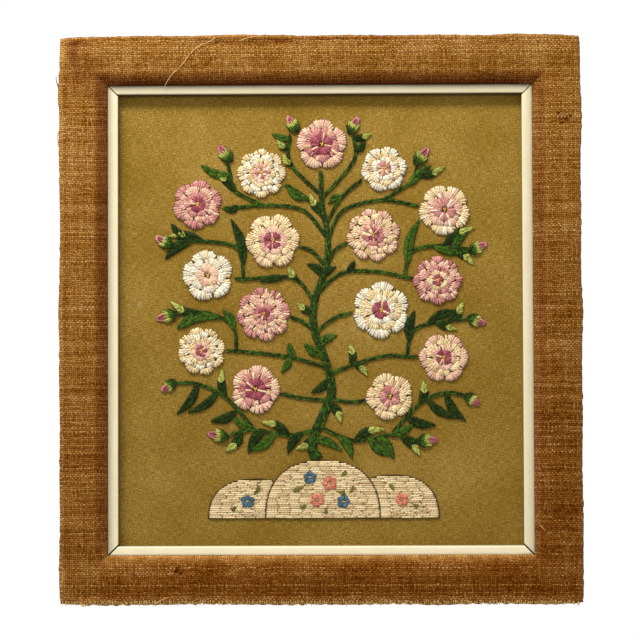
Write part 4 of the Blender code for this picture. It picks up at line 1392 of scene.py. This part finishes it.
def mound(work, name):
    """A mound of level rows: cream stitches end to end, padded in the middle, and a dark
    stem-stitched edge. The outer mounds stop where the middle one begins."""
    x, half_width, height, foot = MOUNDS[name]
    middle_x, middle_half, middle_height, _ = MOUNDS["mound_middle"]
    for level in np.arange(1.2, height - 0.8, ROW_PITCH):
        reach = arch_reach(half_width, height, level) - 0.6
        low, high = x - reach, x + reach
        inner = arch_reach(middle_half, middle_height, level) + 1.0
        if x < middle_x:
            high = min(high, middle_x - inner)
        elif x > middle_x:
            low = max(low, middle_x + inner)
        if high - low < 3:
            continue
        cuts = [low]
        while cuts[-1] < high - 5:
            cuts.append(min(high, cuts[-1] + DICE.uniform(8.5, 15.0)))
        cuts[-1] = high
        cuts = np.array(cuts)
        z = foot + level + DICE.uniform(-0.25, 0.25, len(cuts))
        start = np.stack((cuts[:-1] - 0.7, z[:-1]), axis=-1)
        end = np.stack((cuts[1:] + 0.7, z[1:]), axis=-1)
        near = np.minimum(np.abs(start[:, 0] - low), np.abs(high - end[:, 0]))
        base = 0.5 + 0.9 * np.clip(np.minimum(near, level) / 9.0, 0, 1)
        work.lay("cream", start, end, 2.15, 0.8, base[:, None])
    angle = np.linspace(0.0, math.pi, int((half_width + height) / 1.5))
    arch = polar((x, foot), arch_radius(half_width, height, angle) + 0.4, angle)
    if x != middle_x:
        aside, above = (arch - (middle_x, foot)).T
        reach = arch_radius(middle_half, middle_height, np.arctan2(above, aside))
        arch = arch[np.hypot(aside, above) > reach + 0.5]
    work.lay("outline", arch[:-2], arch[2:], 1.15, 0.6, 0.3)
    low, high = arch[:, 0].min(), arch[:, 0].max()
    base_line = np.linspace((low, foot), (high, foot), int((high - low) / 5))
    work.lay("outline", base_line[:-1] - (0.8, 0), base_line[1:] + (0.8, 0), 1.15, 0.6, 0.3)


def middle_of(node):
    """The middle on the panel, and half the mean width, of a CAD node's box."""
    low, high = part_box(node)
    centre = ((low.x + high.x) / 2 / MM - CENTRE_X, (low.z + high.z) / 2 / MM - CENTRE_Z)
    return centre, (high.x - low.x + high.z - low.z) / 4 / MM


def leaf_wools(index, length, part):
    """The body's wool, the tip's wool and where the tip begins, for one leaf of a part."""
    body = "dark_green" if index % 3 else "mid_green"
    if length < 20:
        lime_from = 0.45 if index % 2 else None
    else:
        lime_from = 0.62 if (index * 5 + len(part)) % 3 == 0 else None
    return (body, "lime", lime_from) if lime_from else (body, body, 0.9)


def embroider(materials):
    """Works the whole design: the tree first, then its leaves, buds and blossoms."""
    tree = Needlework("stems")
    stem(tree, TRUNK, 0.0, ("dark_green", "mid_green", "dark_green"))
    for rows in BRANCHES:
        stem(tree, rows, BRANCH_HALF_WIDTH, ("dark_green", "mid_green"), yarn=1.6)
    tree.finish("green_wool", ["tree_stems_leaves"], materials)
    for part, rows in (("left", LEAVES[0::2]), ("right", LEAVES[1::2])):
        work = Needlework(f"leaves_{part}")
        for index, (x, z, direction, length, width, bend) in enumerate(rows):
            wools = leaf_wools(index, length, part)
            leaf(work, (x, z), direction, length, width * LEAF_FULLNESS, bend, wools)
        work.finish("green_wool", ["tree_stems_leaves"], materials)
    for number, row in enumerate(BLOSSOMS, 1):
        node = f"blossom_{number:02d}"
        work = Needlework(node)
        blossom(work, *middle_of(node), row)
        work.finish(f"{row[2][0]}_wool", [node], materials)
    for number, row in enumerate(BUDS, 1):
        node = f"bud_{number:02d}"
        work = Needlework(node)
        bud(work, middle_of(node)[0], *row)
        work.finish("dusty_pink_wool", [node], materials)
    for name in MOUNDS:
        work = Needlework(name)
        mound(work, name)
        if name == "mound_middle":
            for sprig in SPRIGS:
                leaf_sprig(work, *sprig)
        work.finish("cream_wool", [name], materials)
    for number, wool in enumerate(SMALL_BLOSSOMS, 1):
        node = f"small_blossom_{number}"
        work = Needlework(node)
        small_blossom(work, *middle_of(node), wool, math.radians(18.0 * number))
        work.finish(f"{wool}_wool", [node], materials)


def dress_frame():
    """Hessian, liner, linen, and the wood and board that show from behind."""
    hessian_cover(hessian_finish())
    liner_finishes = [liner_finish(), mitre_finish()]
    for side in SIDES:
        liner_strip(side, liner_finishes)
    linen_cloth(linen_finish())
    pines = {upright: pine_finish(upright) for upright in (False, True)}
    for side in SIDES:
        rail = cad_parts[f"rail_{side}"]
        rail.material_slots[0].material = pines[side in ("left", "right")]
    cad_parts["backing_board"].material_slots[0].material = board_finish()
    straw = strand_finish("straw_thread", srgb(240, 202, 130))
    dark = strand_finish("dark_nub", srgb(52, 28, 8))
    frays(straw)
    loose_strands("loose_threads", LOOSE_THREADS, straw)
    loose_strands("stray_hair", HAIR, dark)
    nub = (0.2, NUB_RADIUS, NUB_HEIGHT, NUB_HEIGHT)
    loose_strands("yarn_nubs", [(x - 1.4, z - 0.6, x + 1.6, z + 0.8, *nub) for x, z in NUBS], dark)


# Room, light and camera


def look_at(obj, target):
    """Turns a camera or light so that it faces a point."""
    way = target - obj.location
    obj.rotation_mode = "QUATERNION"
    obj.rotation_quaternion = way.to_track_quat("-Z", "Y")


def add_camera(target):
    """The photo's view, a little to the right of the middle and from slightly below."""
    data = bpy.data.cameras.new("photo_view")
    camera = put_in_scene("photo_view", data)
    azimuth = math.radians(CAMERA_AZIMUTH)
    elevation = math.radians(CAMERA_ELEVATION)
    back = (
        math.sin(azimuth) * math.cos(elevation),
        -math.cos(azimuth) * math.cos(elevation),
        math.sin(elevation),
    )
    camera.location = [t + CAMERA_DISTANCE * b for t, b in zip(target, back)]
    look_at(camera, target)
    camera.rotation_mode = "XYZ"
    camera.rotation_euler.rotate_axis("Z", math.radians(CAMERA_ROLL))
    data.sensor_width = SENSOR
    data.lens = SENSOR * CAMERA_DISTANCE / (FRAME_PIXELS * PIXEL * MM)
    bpy.context.scene.camera = camera


def add_light(target):
    """A rectangular light like a high window. Its share, KEY, is the brightness that it gives
    to a white front face."""
    place = target + Vector(KEY_PLACE)
    away = place - target
    light_facing = -away.y / away.length
    data = bpy.data.lights.new("high_window", "AREA")
    data.shape = "RECTANGLE"
    data.size = KEY_WIDTH
    data.size_y = KEY_HEIGHT
    data.energy = KEY * math.pi**2 * away.length_squared / light_facing
    data.color = (1.0, 0.97, 0.92)
    light = put_in_scene("high_window", data)
    light.location = place
    look_at(light, target)


def add_surround():
    """A white surround: it shows as white, and lights the panel evenly and a little warmly."""
    world = bpy.data.worlds.new("pale_room")
    bpy.context.scene.world = world
    world.use_nodes = True
    nodes = world.node_tree.nodes
    surround = nodes["Background"]
    surround.inputs["Color"].default_value = (1.0, 0.985, 0.96, 1.0)
    surround.inputs["Strength"].default_value = AMBIENT
    seen = nodes.new("ShaderNodeBackground")
    seen.inputs["Color"].default_value = (1.0, 1.0, 1.0, 1.0)
    seen.inputs["Strength"].default_value = 1.05
    path = nodes.new("ShaderNodeLightPath")
    choose = nodes.new("ShaderNodeMixShader")
    links = world.node_tree.links
    links.new(path.outputs["Is Camera Ray"], choose.inputs[0])
    links.new(surround.outputs[0], choose.inputs[1])
    links.new(seen.outputs[0], choose.inputs[2])
    links.new(choose.outputs[0], nodes["World Output"].inputs["Surface"])


def add_floor(target):
    """A pale round floor well below the hung panel."""
    bpy.ops.mesh.primitive_circle_add(vertices=96, radius=FLOOR_RADIUS, fill_type="NGON")
    floor = bpy.context.object
    floor.name = "pale_floor"
    floor.location = (target.x, target.y + 0.1, target.z - FLOOR_DROP)
    pale = Finish("pale_floor", roughness=0.9)
    mottle = pale.noise(pale.place(), 3.0)
    colour = pale.mix(mottle, srgb(246, 245, 243), srgb(250, 250, 248))
    floor.data.materials.append(pale.paint(colour))


dress_frame()
embroider({name: wool_finish(name, *lots) for name, lots in WOOLS.items()})

panel_middle = Vector((CENTRE_X * MM, -25 * MM, CENTRE_Z * MM)) + Vector(AIM_SHIFT)
add_camera(panel_middle)
add_surround()
add_light(panel_middle)
add_floor(panel_middle)
bpy.context.scene.view_settings.view_transform = "Standard"

bpy.context.view_layer.update()
